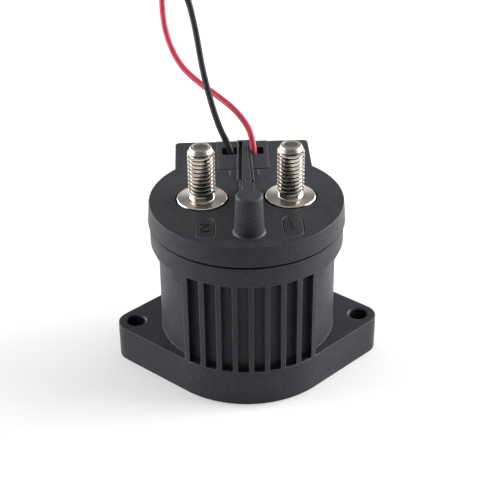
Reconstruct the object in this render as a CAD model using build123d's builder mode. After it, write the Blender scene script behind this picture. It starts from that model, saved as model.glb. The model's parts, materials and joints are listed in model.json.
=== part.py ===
from build123d import *
import os
from math import cos, pi, radians, sin, tan

# High voltage DC contactor: a moulded base with two ears, a fluted cup, a cover with two screw
# terminals and a barrier between them, and the sealed contact and coil set inside.
# Sizes are in millimetres.  The origin is the centre of the flange's underside, +Z is up,
# the terminals stand side by side along X and the leads leave at +Y.

os.makedirs("parts", exist_ok=True)

# Base moulding
body_r = 28.75
flange_h = 11.75
flange_edge_r = 0.3
ear_r = 5.5
ear_reach = 5.75
ear_hole_r = 2.8
ear_hole_lead_in = 0.4
rim_step = 2.3
cup_wall = 2.25
cup_floor = 2.5
parting_z = 47.5
rim_z = 41.3
rim_cone_z = 35.8
soft_edge = 0.4

# Fluting on the front and, under the rear box, on the back
rib_half_span = 19.36
rib_set_back = 0.05
rib_top_z = 41.25
flute_pitch = 4.68
flute_width = 3.25
flute_count = 8

# Rear box for the control board
box_half_width = 21.1
box_reach = 8.75
box_bottom_z = 30.0
box_wall = 2.0
box_corner_r = 1.5
divider_top_z = 44.4

# Cover
cover_gap = 0.5
cover_edge_r = 0.25
cover_top_z = 54.15
cover_wall = 2.5
cover_draft = 0.45
lip_wall = 1.2
lip_depth = 1.75
lip_clearance = 0.15
stud_inset = 7.5
stud_y = 0.5
stud_pocket_r = 8.0
pocket_wall = 1.5
pocket_boss_drop = 4.5

# Barrier between the terminals
post_edge = 9.05
post_top_z = 65.9
post_top_r = 3.8
post_foot_r = 4.3
barrier_w = 3.5
neck_l = 7.1
barrier_slope = 30.0
spine_rise = 0.55

# Slot behind the barrier, its raised rim, and the thin tongue with three cells that lies in it
slot_front_y = 10.0
slot_front_left = -2.0
slot_front_right = 2.3
slot_rear_left = -0.9
slot_rear_right = 2.1
slot_depth = 1.2
tongue_front_left = -0.9
tongue_front_right = 1.95
tongue_rear_left = 0.25
tongue_rear_right = 1.8
slot_rim_w = 0.5
slot_rim_rise = 0.45
slot_end_wall = 1.0
cell_w = 0.5
cell_l = 1.3
cell_depth = 0.7
cell_pitch = 0.9

# Lead insert
insert_half_w = 7.5
insert_gap = 0.2
insert_front_gap = 0.45
insert_t = 2.15
insert_foot_half_w = 10.6
insert_foot_t = 1.15
panel_reach = 19.0
panel_rear_gap = 0.1
panel_half_w = 8.15
panel_rise = 0.1
window_w = 5.0
window_l = 5.0
window_edge = 7.1
window_left_x = -3.9
window_right_x = 4.25
guide_wall = 0.7
guide_drop = 3.4
tick_x = 4.35
tick_w = 0.35
tick_rise = 0.2
tick_l = 3.0
tick_gap = 0.9

# Digit frames sunk in the cover
badge_x = 12.6
badge_edge = 11.75
badge_w = 6.0
badge_l = 11.7
badge_corner_r = 2.75
badge_line_w = 0.3
badge_line_depth = 0.2

# Terminal studs
stud_flange_r = 7.5
stud_flange_rise = 0.4
stud_flange_bevel = 0.6
stud_neck_r = 3.3
stud_neck_h = 2.45
thread_r = 4.0
stud_h = 16.45
stud_end_r = 2.65
stud_end_h = 1.15
stud_dish_r = 1.7
stud_dish_depth = 0.35
stud_shank_r = 5.0
shank_below_roof = 1.2
seal_t = 1.8
seal_fit = 0.05

# Contacts
tip_r = 4.4
fixed_tip_t = 1.3
moving_tip_t = 0.8
closed_air = 0.075
bridge_t = 2.1
bridge_w = 9.6
bridge_hole_clearance = 0.3
overtravel = 0.475
travel = 1.9

# Ceramic arc chamber
chamber_end_room = 3.7
chamber_side_room = 11.2
chamber_corner_r = 6.0
chamber_wall = 2.2
chamber_roof = 3.0
chamber_h = 14.5
chamber_hole_clearance = 0.15
seal_ring_t = 1.0
base_shield_t = 0.75
base_shield_clearance = 0.3
base_shield_hole_r = 4.6
fill_tube_edge = 4.4
fill_tube_r = 1.5
fill_tube_bore_r = 0.9
fill_tube_h = 3.4
fill_tube_pinch_t = 1.0
fill_tube_pinch_w = 3.4

# Magnets and their carrier
magnet_half_l = 11.8
magnet_t = 4.6
magnet_h = 10.4
magnet_fit = 0.15
magnet_floor = 2.0
carrier_h = 12.9
carrier_clearance = 0.25
carrier_bore_clearance = 0.2
pin_duct_half_w = 7.0
pin_duct_gap = 1.5

# Magnet frame
can_clearance = 0.4
can_wall = 1.8
can_floor_t = 1.8
yoke_plate_z = 29.0
yoke_plate_t = 2.0
yoke_notch_half_w = 7.0

# Plunger guide and cores
sleeve_r = 7.2
sleeve_wall = 0.4
sleeve_floor_gap = 0.3
sleeve_flange_r = 10.0
core_clearance = 0.15
core_end_gap = 0.1
fixed_core_bottom_z = 18.0
core_head_r = 8.2
core_head_t = 0.8
core_hole_clearance = 0.1
spring_pocket_r = 3.3
fixed_pocket_depth = 6.0
moving_pocket_depth = 3.0
buffer_r = 5.5
buffer_t = 1.0
buffer_gap = 0.1
shaft_r = 1.5
shaft_bore_clearance = 0.35
shaft_foot = 0.5
shaft_above_bridge = 1.7
seat_r = 4.2
seat_t = 0.65
seat_gap = 1.2
clip_r = 3.1
clip_t = 0.7
clip_mouth = 2.2
clip_gap = 0.05

# Springs
return_wire_r = 0.35
return_coil_r = 2.5
return_turns = 6.0
contact_wire_r = 0.4
contact_coil_r = 3.2
contact_turns = 2.0
spring_end_gap = 0.1

# Coil
bobbin_clearance = 0.2
bobbin_wall = 1.2
bobbin_room = 1.5
bobbin_flange_t = 1.3
bobbin_bottom_gap = 0.2
winding_depth_left = 1.7
winding_clearance = 0.1
wrap_t = 0.3
lug_half_w = 6.4
lug_h = 2.6
pin_x = 4.0
pin_edge = 1.2
pin_r = 0.45
pin_above_board = 0.9
pin_sink = 2.0

# Control board
board_side_gap = 0.5
board_front_edge = 1.2
board_t = 1.6
board_edge_gap = 0.4
board_hole_clearance = 0.2
post_side = 2.0
capacitor_r = 3.15
capacitor_h = 11.0
capacitor_edge = 6.6
capacitor_wall_gap = 2.95
part_edge = 7.2
part_bevel = 0.3
transistor_edge = 5.75
transistor_size = (6.5, 6.0, 2.3)
transistor_leg = (0.8, 2.4, 0.5)
transistor_leg_pitch = 4.6
diode_edge = 5.6
diode_size = (4.4, 3.6, 2.2)
chip_edge = 13.0
chip_size = (4.9, 3.9, 1.5)
chip_leg = (0.45, 1.1, 0.4)
chip_leg_pitch = 1.27
resistor_reach = 5.65
resistor_edge = 12.8
resistor_size = (2.0, 1.25, 0.6)
resistor_pitch = 2.2

# Leads
lead_r = 1.0
wire_r = 0.45
coil_turn_r = 11.8
coil_pitch = 2.15
coil_turns = 2.0
coil_points_a_turn = 12
coil_air = 0.05
strip_l = 7.0
strip_turn = 35.0

# Worked out from the sizes above
rib_r = body_r - rib_set_back
ear_x = body_r + ear_reach
cup_r = body_r - rim_step
cup_bore_r = cup_r - cup_wall
box_rear_y = body_r + box_reach
panel_rear_y = box_rear_y - panel_rear_gap
panel_front_y = box_rear_y - panel_reach
opening_front_y = panel_front_y - insert_front_gap
window_y = box_rear_y - window_edge
tick_y = opening_front_y - tick_gap - tick_l / 2
part_y = box_rear_y - part_edge
chip_y = box_rear_y - chip_edge
resistor_y = box_rear_y - resistor_edge
capacitor_y = cup_r + capacitor_wall_gap
post_y = -(body_r - post_edge)
neck_end_y = post_y + neck_l
badge_y = -(body_r - badge_edge)
chamber_half_l = cup_bore_r - chamber_end_room
chamber_half_w = cup_bore_r - chamber_side_room
stud_x = chamber_half_l - stud_inset
fill_tube_y = chamber_half_w - fill_tube_edge
can_r = cup_bore_r - can_clearance
bobbin_flange_r = can_r - can_wall - bobbin_room
winding_r = bobbin_flange_r - winding_depth_left
pin_y = can_r - can_wall - pin_edge
pin_duct_y = pin_y - pin_duct_gap
board_front_y = pin_y - board_front_edge
divider_r = cup_r
contact_gap = travel - overtravel + closed_air
core_gap = travel + core_end_gap
cover_bottom_z = parting_z + cover_gap
cover_under_z = cover_top_z - cover_wall
flange_top_z = cover_top_z + stud_flange_rise
stud_top_z = flange_top_z + stud_h
yoke_top_z = yoke_plate_z + yoke_plate_t
chamber_z = yoke_top_z + seal_ring_t
chamber_top_z = chamber_z + chamber_h
chamber_roof_z = chamber_top_z - chamber_roof
shank_bottom_z = chamber_roof_z - shank_below_roof
tip_face_z = shank_bottom_z - fixed_tip_t
bridge_top_z = tip_face_z - contact_gap - moving_tip_t
bridge_bottom_z = bridge_top_z - bridge_t
can_floor_z = cup_floor + can_floor_t
sleeve_bottom_z = cup_floor + sleeve_floor_gap
sleeve_bore_r = sleeve_r - sleeve_wall
core_r = sleeve_bore_r - core_clearance
buffer_z = sleeve_bottom_z + sleeve_wall
core_bottom_z = buffer_z + buffer_t + buffer_gap
core_top_z = fixed_core_bottom_z - core_gap
core_head_z = yoke_top_z + core_head_t
seat_z = core_head_z + seat_gap
bobbin_z = can_floor_z + bobbin_bottom_gap
bobbin_top_z = yoke_plate_z - sleeve_wall - bobbin_bottom_gap
bobbin_bore_r = sleeve_r + bobbin_clearance
barrel_r = bobbin_bore_r + bobbin_wall
board_top_z = divider_top_z + board_t
box_inner_x = box_half_width - box_wall
box_inner_y = box_rear_y - box_wall
board_half_l = box_inner_x - board_side_gap
capacitor_x = -(board_half_l - capacitor_edge)
transistor_x = board_half_l - transistor_edge
diode_x = -(board_half_l - diode_edge)
resistor_x = transistor_x - resistor_reach
pocket_boss_r = stud_pocket_r + pocket_wall
carrier_top_z = yoke_top_z + carrier_h
magnet_z = yoke_top_z + magnet_floor
magnet_y = chamber_half_w + carrier_clearance + magnet_fit


def write(piece, label):
    piece.part.label = label
    export_step(piece.part, f"parts/{label}.step")


def interior_outline(inset):
    # The hollow shared by the cup and the rear box, seen from above, drawn inset all round
    Circle(cup_bore_r - inset)
    width = 2 * (box_inner_x - inset)
    length = box_inner_y - inset
    with Locations((0, length / 2)):
        Rectangle(width, length)


def chamber_outline(outset):
    half_l = chamber_half_l + outset
    half_w = chamber_half_w + outset
    RectangleRounded(2 * half_l, 2 * half_w, chamber_corner_r + outset)


def x_between(front, rear, y):
    # An edge that runs straight from the slot's front end to the cover's rear edge
    share = (y - slot_front_y) / (box_rear_y - slot_front_y)
    return front + (rear - front) * share


def slot_corners(front_y, rear_y, outset):
    return [
        (x_between(slot_front_left, slot_rear_left, front_y) - outset, front_y),
        (x_between(slot_front_right, slot_rear_right, front_y) + outset, front_y),
        (x_between(slot_front_right, slot_rear_right, rear_y) + outset, rear_y),
        (x_between(slot_front_left, slot_rear_left, rear_y) - outset, rear_y),
    ]


# Base: flange with two ears, fluted cup, rim and rear box in one moulding
with BuildPart() as housing:
    with BuildSketch():
        Circle(body_r)
        with Locations((-ear_x, 0), (ear_x, 0)):
            Circle(ear_r)
        make_hull()
    extrude(amount=flange_h)
    flange_edges = housing.edges().group_by(Axis.Z)[-1] + housing.edges().group_by(Axis.Z)[0]
    fillet(flange_edges, flange_edge_r)
    # Fluted blocks, front to the rim and rear to the box, almost flush with the flange
    rib_start_z = flange_h / 2
    with BuildSketch(Plane.XY.offset(rib_start_z)):
        Circle(rib_r)
        Rectangle(2 * rib_half_span, 2 * body_r, mode=Mode.INTERSECT)
        with Locations((0, body_r)):
            Rectangle(4 * body_r, 2 * body_r, mode=Mode.SUBTRACT)
    extrude(amount=rib_top_z - rib_start_z)
    with BuildSketch(Plane.XY.offset(rib_start_z)):
        Circle(rib_r)
        Rectangle(2 * rib_half_span, 2 * body_r, mode=Mode.INTERSECT)
        with Locations((0, -body_r)):
            Rectangle(4 * body_r, 2 * body_r, mode=Mode.SUBTRACT)
    extrude(amount=box_bottom_z + soft_edge - rib_start_z)
    # Cup, with the rim's cone and band
    with BuildSketch(Plane.XY.offset(flange_h)):
        Circle(cup_r)
    extrude(amount=parting_z - flange_h)
    with BuildSketch(Plane.XZ):
        with BuildLine():
            Polyline(
                (cup_bore_r, rim_cone_z),
                (cup_r, rim_cone_z),
                (body_r, rim_z),
                (body_r, parting_z - soft_edge / 2),
                (body_r - soft_edge / 2, parting_z),
                (cup_bore_r, parting_z),
                close=True,
            )
        make_face()
    revolve(axis=Axis.Z)
    # Flutes down to the cup, closed above by the rim in front and by the box behind
    for side, flute_top_z in ((-1, rib_top_z), (1, box_bottom_z + soft_edge)):
        with BuildSketch(Plane.XY.offset(flange_h)):
            with Locations((0, side * body_r)):
                with GridLocations(flute_pitch, 0, flute_count, 1):
                    Rectangle(flute_width, 2 * body_r)
            Circle(cup_r, mode=Mode.SUBTRACT)
        extrude(amount=flute_top_z - flange_h, mode=Mode.SUBTRACT)
    # Rear box
    with BuildSketch(Plane.XY.offset(box_bottom_z)) as box_plan:
        with Locations((0, box_rear_y / 2)):
            Rectangle(2 * box_half_width, box_rear_y)
        fillet(box_plan.vertices().group_by(Axis.Y)[-1], box_corner_r)
    extrude(amount=parting_z - box_bottom_z)
    # Hollow of the cup and of the box, with the divider between them
    with BuildSketch(Plane.XY.offset(cup_floor)):
        Circle(cup_bore_r)
    extrude(amount=parting_z, mode=Mode.SUBTRACT)
    with BuildSketch(Plane.XY.offset(box_bottom_z + box_wall)):
        with Locations((0, box_inner_y / 2)):
            Rectangle(2 * box_inner_x, box_inner_y)
        Circle(divider_r, mode=Mode.SUBTRACT)
    extrude(amount=parting_z, mode=Mode.SUBTRACT)
    with BuildSketch(Plane.XY.offset(divider_top_z)):
        interior_outline(0)
    extrude(amount=parting_z, mode=Mode.SUBTRACT)
    # Posts that carry the board's rear corners
    with BuildSketch(Plane.XY.offset(box_bottom_z + box_wall / 2)):
        corner_x = box_inner_x - post_side / 2 + soft_edge / 2
        corner_y = box_inner_y - post_side / 2
        with Locations((-corner_x, corner_y), (corner_x, corner_y)):
            Rectangle(post_side + soft_edge, post_side + soft_edge)
    extrude(amount=divider_top_z - box_bottom_z - box_wall / 2)
    # Screw holes in the ears
    with Locations((-ear_x, 0, flange_h), (ear_x, 0, flange_h)):
        CounterSinkHole(ear_hole_r, ear_hole_r + ear_hole_lead_in, counter_sink_angle=90)
write(housing, "housing")

# Gasket that fills the parting gap, set back from the outer edge
with BuildPart() as cover_gasket:
    with BuildSketch(Plane.XY.offset(parting_z)):
        Circle((cup_bore_r + body_r) / 2)
        with Locations((0, (box_rear_y - box_wall / 2) / 2)):
            Rectangle(2 * box_half_width - box_wall, box_rear_y - box_wall / 2)
        with BuildSketch(mode=Mode.PRIVATE) as hollow:
            interior_outline(0)
        add(hollow.sketch, mode=Mode.SUBTRACT)
    extrude(amount=cover_gap)
write(cover_gasket, "cover_gasket")

# Cover: drafted disc and rear extension, hollow below, with lip, pockets, post and barrier
with BuildPart() as cover:
    with BuildSketch(Plane.XZ):
        with BuildLine():
            Polyline(
                (0, cover_bottom_z),
                (body_r + cover_draft, cover_bottom_z),
                (body_r, cover_top_z),
                (0, cover_top_z),
                close=True,
            )
        make_face()
    revolve(axis=Axis.Z)
    with BuildSketch(Plane.XY.offset(cover_bottom_z)) as cover_plan:
        with Locations((0, box_rear_y / 2)):
            Rectangle(2 * box_half_width, box_rear_y)
        fillet(cover_plan.vertices().group_by(Axis.Y)[-1], box_corner_r)
    extrude(amount=cover_top_z - cover_bottom_z)
    fillet(cover.edges().group_by(Axis.Z)[-1], cover_edge_r)
    # Hollow, then the lip that enters the base
    with BuildSketch(Plane.XY.offset(cover_bottom_z)):
        interior_outline(lip_clearance + lip_wall)
    extrude(amount=cover_under_z - cover_bottom_z, mode=Mode.SUBTRACT)
    with BuildSketch(Plane.XY.offset(cover_bottom_z - lip_depth)):
        interior_outline(lip_clearance)
        with BuildSketch(mode=Mode.PRIVATE) as lip_hollow:
            interior_outline(lip_clearance + lip_wall)
        add(lip_hollow.sketch, mode=Mode.SUBTRACT)
    extrude(amount=lip_depth + soft_edge)
    # Bosses round the terminals, and the pockets through them
    with BuildSketch(Plane.XY.offset(cover_under_z - pocket_boss_drop)):
        with Locations((-stud_x, stud_y), (stud_x, stud_y)):
            Circle(pocket_boss_r)
    extrude(amount=pocket_boss_drop)
    with BuildSketch(Plane.XY.offset(cover_under_z - pocket_boss_drop)):
        with Locations((-stud_x, stud_y), (stud_x, stud_y)):
            Circle(stud_pocket_r)
    extrude(amount=cover_wall + pocket_boss_drop, mode=Mode.SUBTRACT)
    # Place of the lead insert, open at the rear
    with BuildSketch(Plane.XY.offset(cover_under_z)):
        with Locations((0, (opening_front_y + box_rear_y) / 2)):
            Rectangle(2 * (insert_half_w + insert_gap), box_rear_y - opening_front_y)
    extrude(amount=cover_wall, mode=Mode.SUBTRACT)
    # Post at the front, neck and sloped barrier behind it
    with BuildSketch(Plane.XZ.offset(-post_y)):
        with BuildLine():
            Polyline(
                (0, cover_top_z - soft_edge),
                (post_foot_r + soft_edge, cover_top_z - soft_edge),
                (post_foot_r + soft_edge, cover_top_z),
                (post_foot_r, cover_top_z + soft_edge),
                (post_top_r, post_top_z - soft_edge),
                (post_top_r - soft_edge, post_top_z),
                (0, post_top_z),
                close=True,
            )
        make_face()
    revolve(axis=Axis((0, post_y, 0), (0, 0, 1)))
    slope_run = (post_top_z - cover_top_z - spine_rise) / tan(radians(barrier_slope))
    with BuildSketch(Plane.YZ.offset(-barrier_w / 2)):
        with BuildLine():
            Polyline(
                (post_y, cover_top_z - soft_edge),
                (post_y, post_top_z),
                (neck_end_y, post_top_z),
                (neck_end_y + slope_run, cover_top_z + spine_rise),
                (slot_front_y, cover_top_z + spine_rise),
                (slot_front_y, cover_top_z - soft_edge),
                close=True,
            )
        make_face()
    extrude(amount=barrier_w)
    slope_way = Vector(0, cos(radians(barrier_slope)), -sin(radians(barrier_slope)))
    crest = cover.edges().filter_by(lambda edge: abs(edge.tangent_at(0.5).dot(slope_way)) > 0.999)
    fillet(crest, soft_edge)
    # Slot behind the barrier, its rim, and the tongue that lies in it
    with BuildSketch(Plane.XY.offset(cover_top_z - soft_edge)):
        Polygon(slot_corners(slot_front_y, opening_front_y, slot_rim_w), align=None)
    extrude(amount=soft_edge + slot_rim_rise)
    with BuildSketch(Plane.XY.offset(cover_top_z - slot_depth)):
        Polygon(slot_corners(slot_front_y, opening_front_y, 0), align=None)
    extrude(amount=slot_depth + slot_rim_rise, mode=Mode.SUBTRACT)
    with BuildSketch(Plane.XY.offset(cover_top_z - slot_depth)):
        Polygon(
            (tongue_front_left, slot_front_y - soft_edge),
            (tongue_front_right, slot_front_y - soft_edge),
            (tongue_rear_right, panel_rear_y - slot_end_wall - insert_gap),
            (tongue_rear_left, panel_rear_y - slot_end_wall - insert_gap),
            align=None,
        )
    extrude(amount=slot_depth + spine_rise)
    # Three small cells at the tongue's front end
    with BuildSketch(Plane.XY.offset(cover_top_z + spine_rise)):
        with Locations(((tongue_front_left + tongue_front_right) / 2, slot_front_y + cell_l / 2)):
            with GridLocations(cell_pitch, 0, 3, 1):
                Rectangle(cell_w, cell_l)
    extrude(amount=-cell_depth, mode=Mode.SUBTRACT)
    # Low ticks in front of the lead insert
    with BuildSketch(Plane.XY.offset(cover_top_z)):
        with Locations((-tick_x, tick_y), (tick_x, tick_y)):
            Rectangle(tick_w, tick_l)
    extrude(amount=tick_rise)
    # Thin sunk frames round the terminal numbers
    with BuildSketch(Plane.XY.offset(cover_top_z - badge_line_depth)):
        with Locations((-badge_x, badge_y), (badge_x, badge_y)):
            RectangleRounded(badge_w, badge_l, badge_corner_r)
            RectangleRounded(
                badge_w - 2 * badge_line_w,
                badge_l - 2 * badge_line_w,
                badge_corner_r - badge_line_w,
                mode=Mode.SUBTRACT,
            )
    extrude(amount=badge_line_depth, mode=Mode.SUBTRACT)
write(cover, "cover")

# Lead insert: plate in the cover's rear opening, with a raised panel and two windows
with BuildPart() as lead_insert:
    panel_l = panel_rear_y - panel_front_y
    panel_mid_y = (panel_rear_y + panel_front_y) / 2
    with BuildSketch(Plane.XY.offset(cover_top_z - insert_t)):
        with Locations((0, panel_mid_y)):
            Rectangle(2 * insert_half_w, panel_l)
    extrude(amount=insert_t)
    # The panel's edges lie on the cover's top
    with BuildSketch(Plane.XY.offset(cover_top_z)):
        with Locations((0, panel_mid_y)):
            Rectangle(2 * panel_half_w, panel_l)
    extrude(amount=panel_rise)
    with BuildSketch(Plane.XY.offset(cover_top_z)):
        Polygon(slot_corners(panel_front_y, panel_rear_y, slot_rim_w), align=None)
    extrude(amount=slot_rim_rise)
    # Foot under the cover's top wall, inside its rear wall
    foot_rear_y = box_inner_y - lip_clearance - lip_wall - insert_gap
    with BuildSketch(Plane.XY.offset(cover_under_z - insert_foot_t)):
        with Locations((0, (panel_front_y + foot_rear_y) / 2)):
            Rectangle(2 * insert_foot_half_w, foot_rear_y - panel_front_y)
    extrude(amount=insert_foot_t - clip_gap)
    with BuildSketch(Plane.XY.offset(cover_under_z - insert_foot_t)):
        with Locations((0, (panel_front_y + foot_rear_y) / 2)):
            Rectangle(2 * insert_half_w, foot_rear_y - panel_front_y)
    extrude(amount=insert_foot_t + cover_wall - insert_t)
    # Guides that lead the wires down to the board
    with BuildSketch(Plane.XY.offset(cover_under_z - insert_foot_t - guide_drop)):
        with Locations((window_left_x, window_y), (window_right_x, window_y)):
            Rectangle(window_w + 2 * guide_wall, window_l + 2 * guide_wall)
    extrude(amount=guide_drop)
    with BuildSketch(Plane.XY.offset(cover_under_z - insert_foot_t - guide_drop)):
        with Locations((window_left_x, window_y), (window_right_x, window_y)):
            Rectangle(window_w, window_l)
    extrude(amount=guide_drop + insert_foot_t + cover_wall + panel_rise, mode=Mode.SUBTRACT)
    # Slot for the tongue
    with BuildSketch(Plane.XY.offset(cover_top_z - slot_depth)):
        Polygon(slot_corners(panel_front_y, panel_rear_y - slot_end_wall, 0), align=None)
    extrude(amount=slot_depth + slot_rim_rise, mode=Mode.SUBTRACT)
write(lead_insert, "lead_insert")

# Terminals: shank through the chamber's roof, drum flange, neck and screw stud
for side, label in ((-1, "terminal_stud_left"), (1, "terminal_stud_right")):
    with BuildPart() as terminal_stud:
        with BuildSketch(Plane((side * stud_x, stud_y, 0), x_dir=(1, 0, 0), z_dir=(0, -1, 0))):
            with BuildLine():
                Polyline(
                    (0, shank_bottom_z),
                    (stud_shank_r, shank_bottom_z),
                    (stud_shank_r, chamber_top_z),
                    (stud_flange_r, chamber_top_z),
                    (stud_flange_r, flange_top_z - stud_flange_bevel),
                    (stud_flange_r - stud_flange_bevel, flange_top_z),
                    (stud_neck_r, flange_top_z),
                    (stud_neck_r, flange_top_z + stud_neck_h),
                    (thread_r, flange_top_z + stud_neck_h + thread_r - stud_neck_r),
                    (thread_r, stud_top_z - stud_end_h),
                    (stud_end_r, stud_top_z),
                    (stud_dish_r, stud_top_z),
                    (stud_dish_r - stud_dish_depth, stud_top_z - stud_dish_depth),
                    (0, stud_top_z - stud_dish_depth),
                    close=True,
                )
            make_face()
        revolve(axis=Axis((side * stud_x, stud_y, 0), (0, 0, 1)))
    write(terminal_stud, label)

# Rubber rings round the terminals, inside the cover's pockets
with BuildPart() as terminal_seals:
    with BuildSketch(Plane.XY.offset(cover_under_z - pocket_boss_drop)):
        with Locations((-stud_x, stud_y), (stud_x, stud_y)):
            Circle(stud_pocket_r - seal_fit)
            Circle(stud_flange_r + seal_fit, mode=Mode.SUBTRACT)
    extrude(amount=seal_t)
write(terminal_seals, "terminal_seals")

# Fixed contact tips, brazed under the terminals' shanks
with BuildPart() as fixed_contact_tips:
    with BuildSketch(Plane.XY.offset(tip_face_z)):
        with Locations((-stud_x, stud_y), (stud_x, stud_y)):
            Circle(tip_r)
    extrude(amount=fixed_tip_t)
    chamfer(fixed_contact_tips.edges().group_by(Axis.Z)[0], soft_edge)
write(fixed_contact_tips, "fixed_contact_tips")

# Ceramic arc chamber, open below, with a hole for each terminal and for the filling tube
with BuildPart() as arc_chamber:
    with BuildSketch(Plane.XY.offset(chamber_z)):
        chamber_outline(0)
    extrude(amount=chamber_h)
    chamfer(arc_chamber.edges().group_by(Axis.Z)[-1], soft_edge)
    with BuildSketch(Plane.XY.offset(chamber_z)):
        chamber_outline(-chamber_wall)
    extrude(amount=chamber_h - chamber_roof, mode=Mode.SUBTRACT)
    with BuildSketch(Plane.XY.offset(chamber_roof_z)):
        with Locations((-stud_x, stud_y), (stud_x, stud_y)):
            Circle(stud_shank_r + chamber_hole_clearance)
        with Locations((0, fill_tube_y)):
            Circle(fill_tube_bore_r)
    extrude(amount=chamber_roof, mode=Mode.SUBTRACT)
write(arc_chamber, "arc_chamber")

# Metal frame that joins the ceramic to the yoke plate
with BuildPart() as chamber_seal_ring:
    with BuildSketch(Plane.XY.offset(yoke_top_z)):
        chamber_outline(0)
        with BuildSketch(mode=Mode.PRIVATE) as ring_hole:
            chamber_outline(-chamber_wall)
        add(ring_hole.sketch, mode=Mode.SUBTRACT)
    extrude(amount=seal_ring_t)
write(chamber_seal_ring, "chamber_seal_ring")

# Insulating shield that lies on the yoke plate inside the chamber
with BuildPart() as base_shield:
    with BuildSketch(Plane.XY.offset(core_head_z)):
        chamber_outline(-chamber_wall - base_shield_clearance)
        Circle(base_shield_hole_r, mode=Mode.SUBTRACT)
    extrude(amount=base_shield_t)
    with BuildSketch(Plane.XY.offset(yoke_top_z)):
        chamber_outline(-chamber_wall - base_shield_clearance)
        Circle(core_head_r + base_shield_clearance, mode=Mode.SUBTRACT)
    extrude(amount=core_head_t)
write(base_shield, "base_shield")

# Copper filling tube, pinched shut at its end
with BuildPart() as gas_fill_tube:
    with BuildSketch(Plane.XY.offset(chamber_top_z)):
        with Locations((0, fill_tube_y)):
            Circle(fill_tube_r)
    with BuildSketch(Plane.XY.offset(chamber_top_z + fill_tube_h)):
        with Locations((0, fill_tube_y)):
            Rectangle(fill_tube_pinch_w, fill_tube_pinch_t)
    loft()
    with BuildSketch(Plane.XY.offset(chamber_top_z + fill_tube_h)):
        with Locations((0, fill_tube_y)):
            Rectangle(fill_tube_pinch_w, fill_tube_pinch_t)
    extrude(amount=fill_tube_pinch_t)
    with Locations((0, fill_tube_y, chamber_top_z + fill_tube_r)):
        CounterBoreHole(fill_tube_bore_r, fill_tube_bore_r, fill_tube_r, depth=fill_tube_r)
write(gas_fill_tube, "gas_fill_tube")

# Blow-out magnets along the chamber's long sides
for side, label in ((-1, "magnet_front"), (1, "magnet_rear")):
    with BuildPart() as magnet:
        with BuildSketch(Plane.XY.offset(magnet_z + magnet_fit)):
            with Locations((0, side * (magnet_y + magnet_t / 2))):
                Rectangle(2 * magnet_half_l, magnet_t)
        extrude(amount=magnet_h)
        chamfer(magnet.edges().filter_by(Axis.Z), soft_edge)
    write(magnet, label)

# Carrier that centres the chamber in the base and holds both magnets
with BuildPart() as magnet_carrier:
    with BuildSketch(Plane.XY.offset(yoke_top_z)):
        Circle(cup_bore_r - carrier_bore_clearance)
        with BuildSketch(mode=Mode.PRIVATE) as chamber_room:
            chamber_outline(carrier_clearance)
        add(chamber_room.sketch, mode=Mode.SUBTRACT)
        with Locations((0, pin_duct_y + cup_bore_r / 2)):
            Rectangle(2 * pin_duct_half_w, cup_bore_r, mode=Mode.SUBTRACT)
    extrude(amount=carrier_h)
    with BuildSketch(Plane.XY.offset(magnet_z)):
        with Locations((0, -magnet_y - magnet_t / 2), (0, magnet_y + magnet_t / 2)):
            Rectangle(2 * (magnet_half_l + magnet_fit), magnet_t + 2 * magnet_fit)
    extrude(amount=carrier_h, mode=Mode.SUBTRACT)
write(magnet_carrier, "magnet_carrier")

# Steel can round the coil, and the yoke plate that closes it
with BuildPart() as yoke_can:
    with BuildSketch(Plane.XY.offset(cup_floor)):
        Circle(can_r)
        Circle(sleeve_r + bobbin_clearance, mode=Mode.SUBTRACT)
    extrude(amount=yoke_plate_z - cup_floor)
    with BuildSketch(Plane.XY.offset(can_floor_z)):
        Circle(can_r - can_wall)
    extrude(amount=yoke_plate_z, mode=Mode.SUBTRACT)
    chamfer(yoke_can.edges().group_by(Axis.Z)[0], soft_edge)
write(yoke_can, "yoke_can")

with BuildPart() as yoke_plate:
    with BuildSketch(Plane.XY.offset(yoke_plate_z)):
        Circle(can_r)
        Circle(core_r + core_hole_clearance, mode=Mode.SUBTRACT)
        with Locations((0, pin_duct_y + can_r / 2)):
            Rectangle(2 * yoke_notch_half_w, can_r, mode=Mode.SUBTRACT)
    extrude(amount=yoke_plate_t)
write(yoke_plate, "yoke_plate")

# Fixed core with its head on the yoke plate, a pocket for the return spring and the shaft's bore
with BuildPart() as fixed_core:
    with BuildSketch(Plane.XZ):
        with BuildLine():
            Polyline(
                (spring_pocket_r, fixed_core_bottom_z),
                (core_r, fixed_core_bottom_z),
                (core_r, yoke_top_z),
                (core_head_r, yoke_top_z),
                (core_head_r, core_head_z),
                (shaft_r + shaft_bore_clearance, core_head_z),
                (shaft_r + shaft_bore_clearance, fixed_core_bottom_z + fixed_pocket_depth),
                (spring_pocket_r, fixed_core_bottom_z + fixed_pocket_depth),
                close=True,
            )
        make_face()
    revolve(axis=Axis.Z)
write(fixed_core, "fixed_core")

# Thin drawn sleeve in which the moving core slides, and the rubber buffer at its bottom
with BuildPart() as guide_sleeve:
    with BuildSketch(Plane.XZ):
        with BuildLine():
            Polyline(
                (0, sleeve_bottom_z),
                (sleeve_r, sleeve_bottom_z),
                (sleeve_r, yoke_plate_z - sleeve_wall),
                (sleeve_flange_r, yoke_plate_z - sleeve_wall),
                (sleeve_flange_r, yoke_plate_z),
                (sleeve_bore_r, yoke_plate_z),
                (sleeve_bore_r, buffer_z),
                (0, buffer_z),
                close=True,
            )
        make_face()
    revolve(axis=Axis.Z)
write(guide_sleeve, "guide_sleeve")

with BuildPart() as core_buffer:
    with BuildSketch(Plane.XY.offset(buffer_z)):
        Circle(buffer_r)
    extrude(amount=buffer_t)
    chamfer(core_buffer.edges().group_by(Axis.Z)[-1], soft_edge / 2)
write(core_buffer, "core_buffer")

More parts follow.
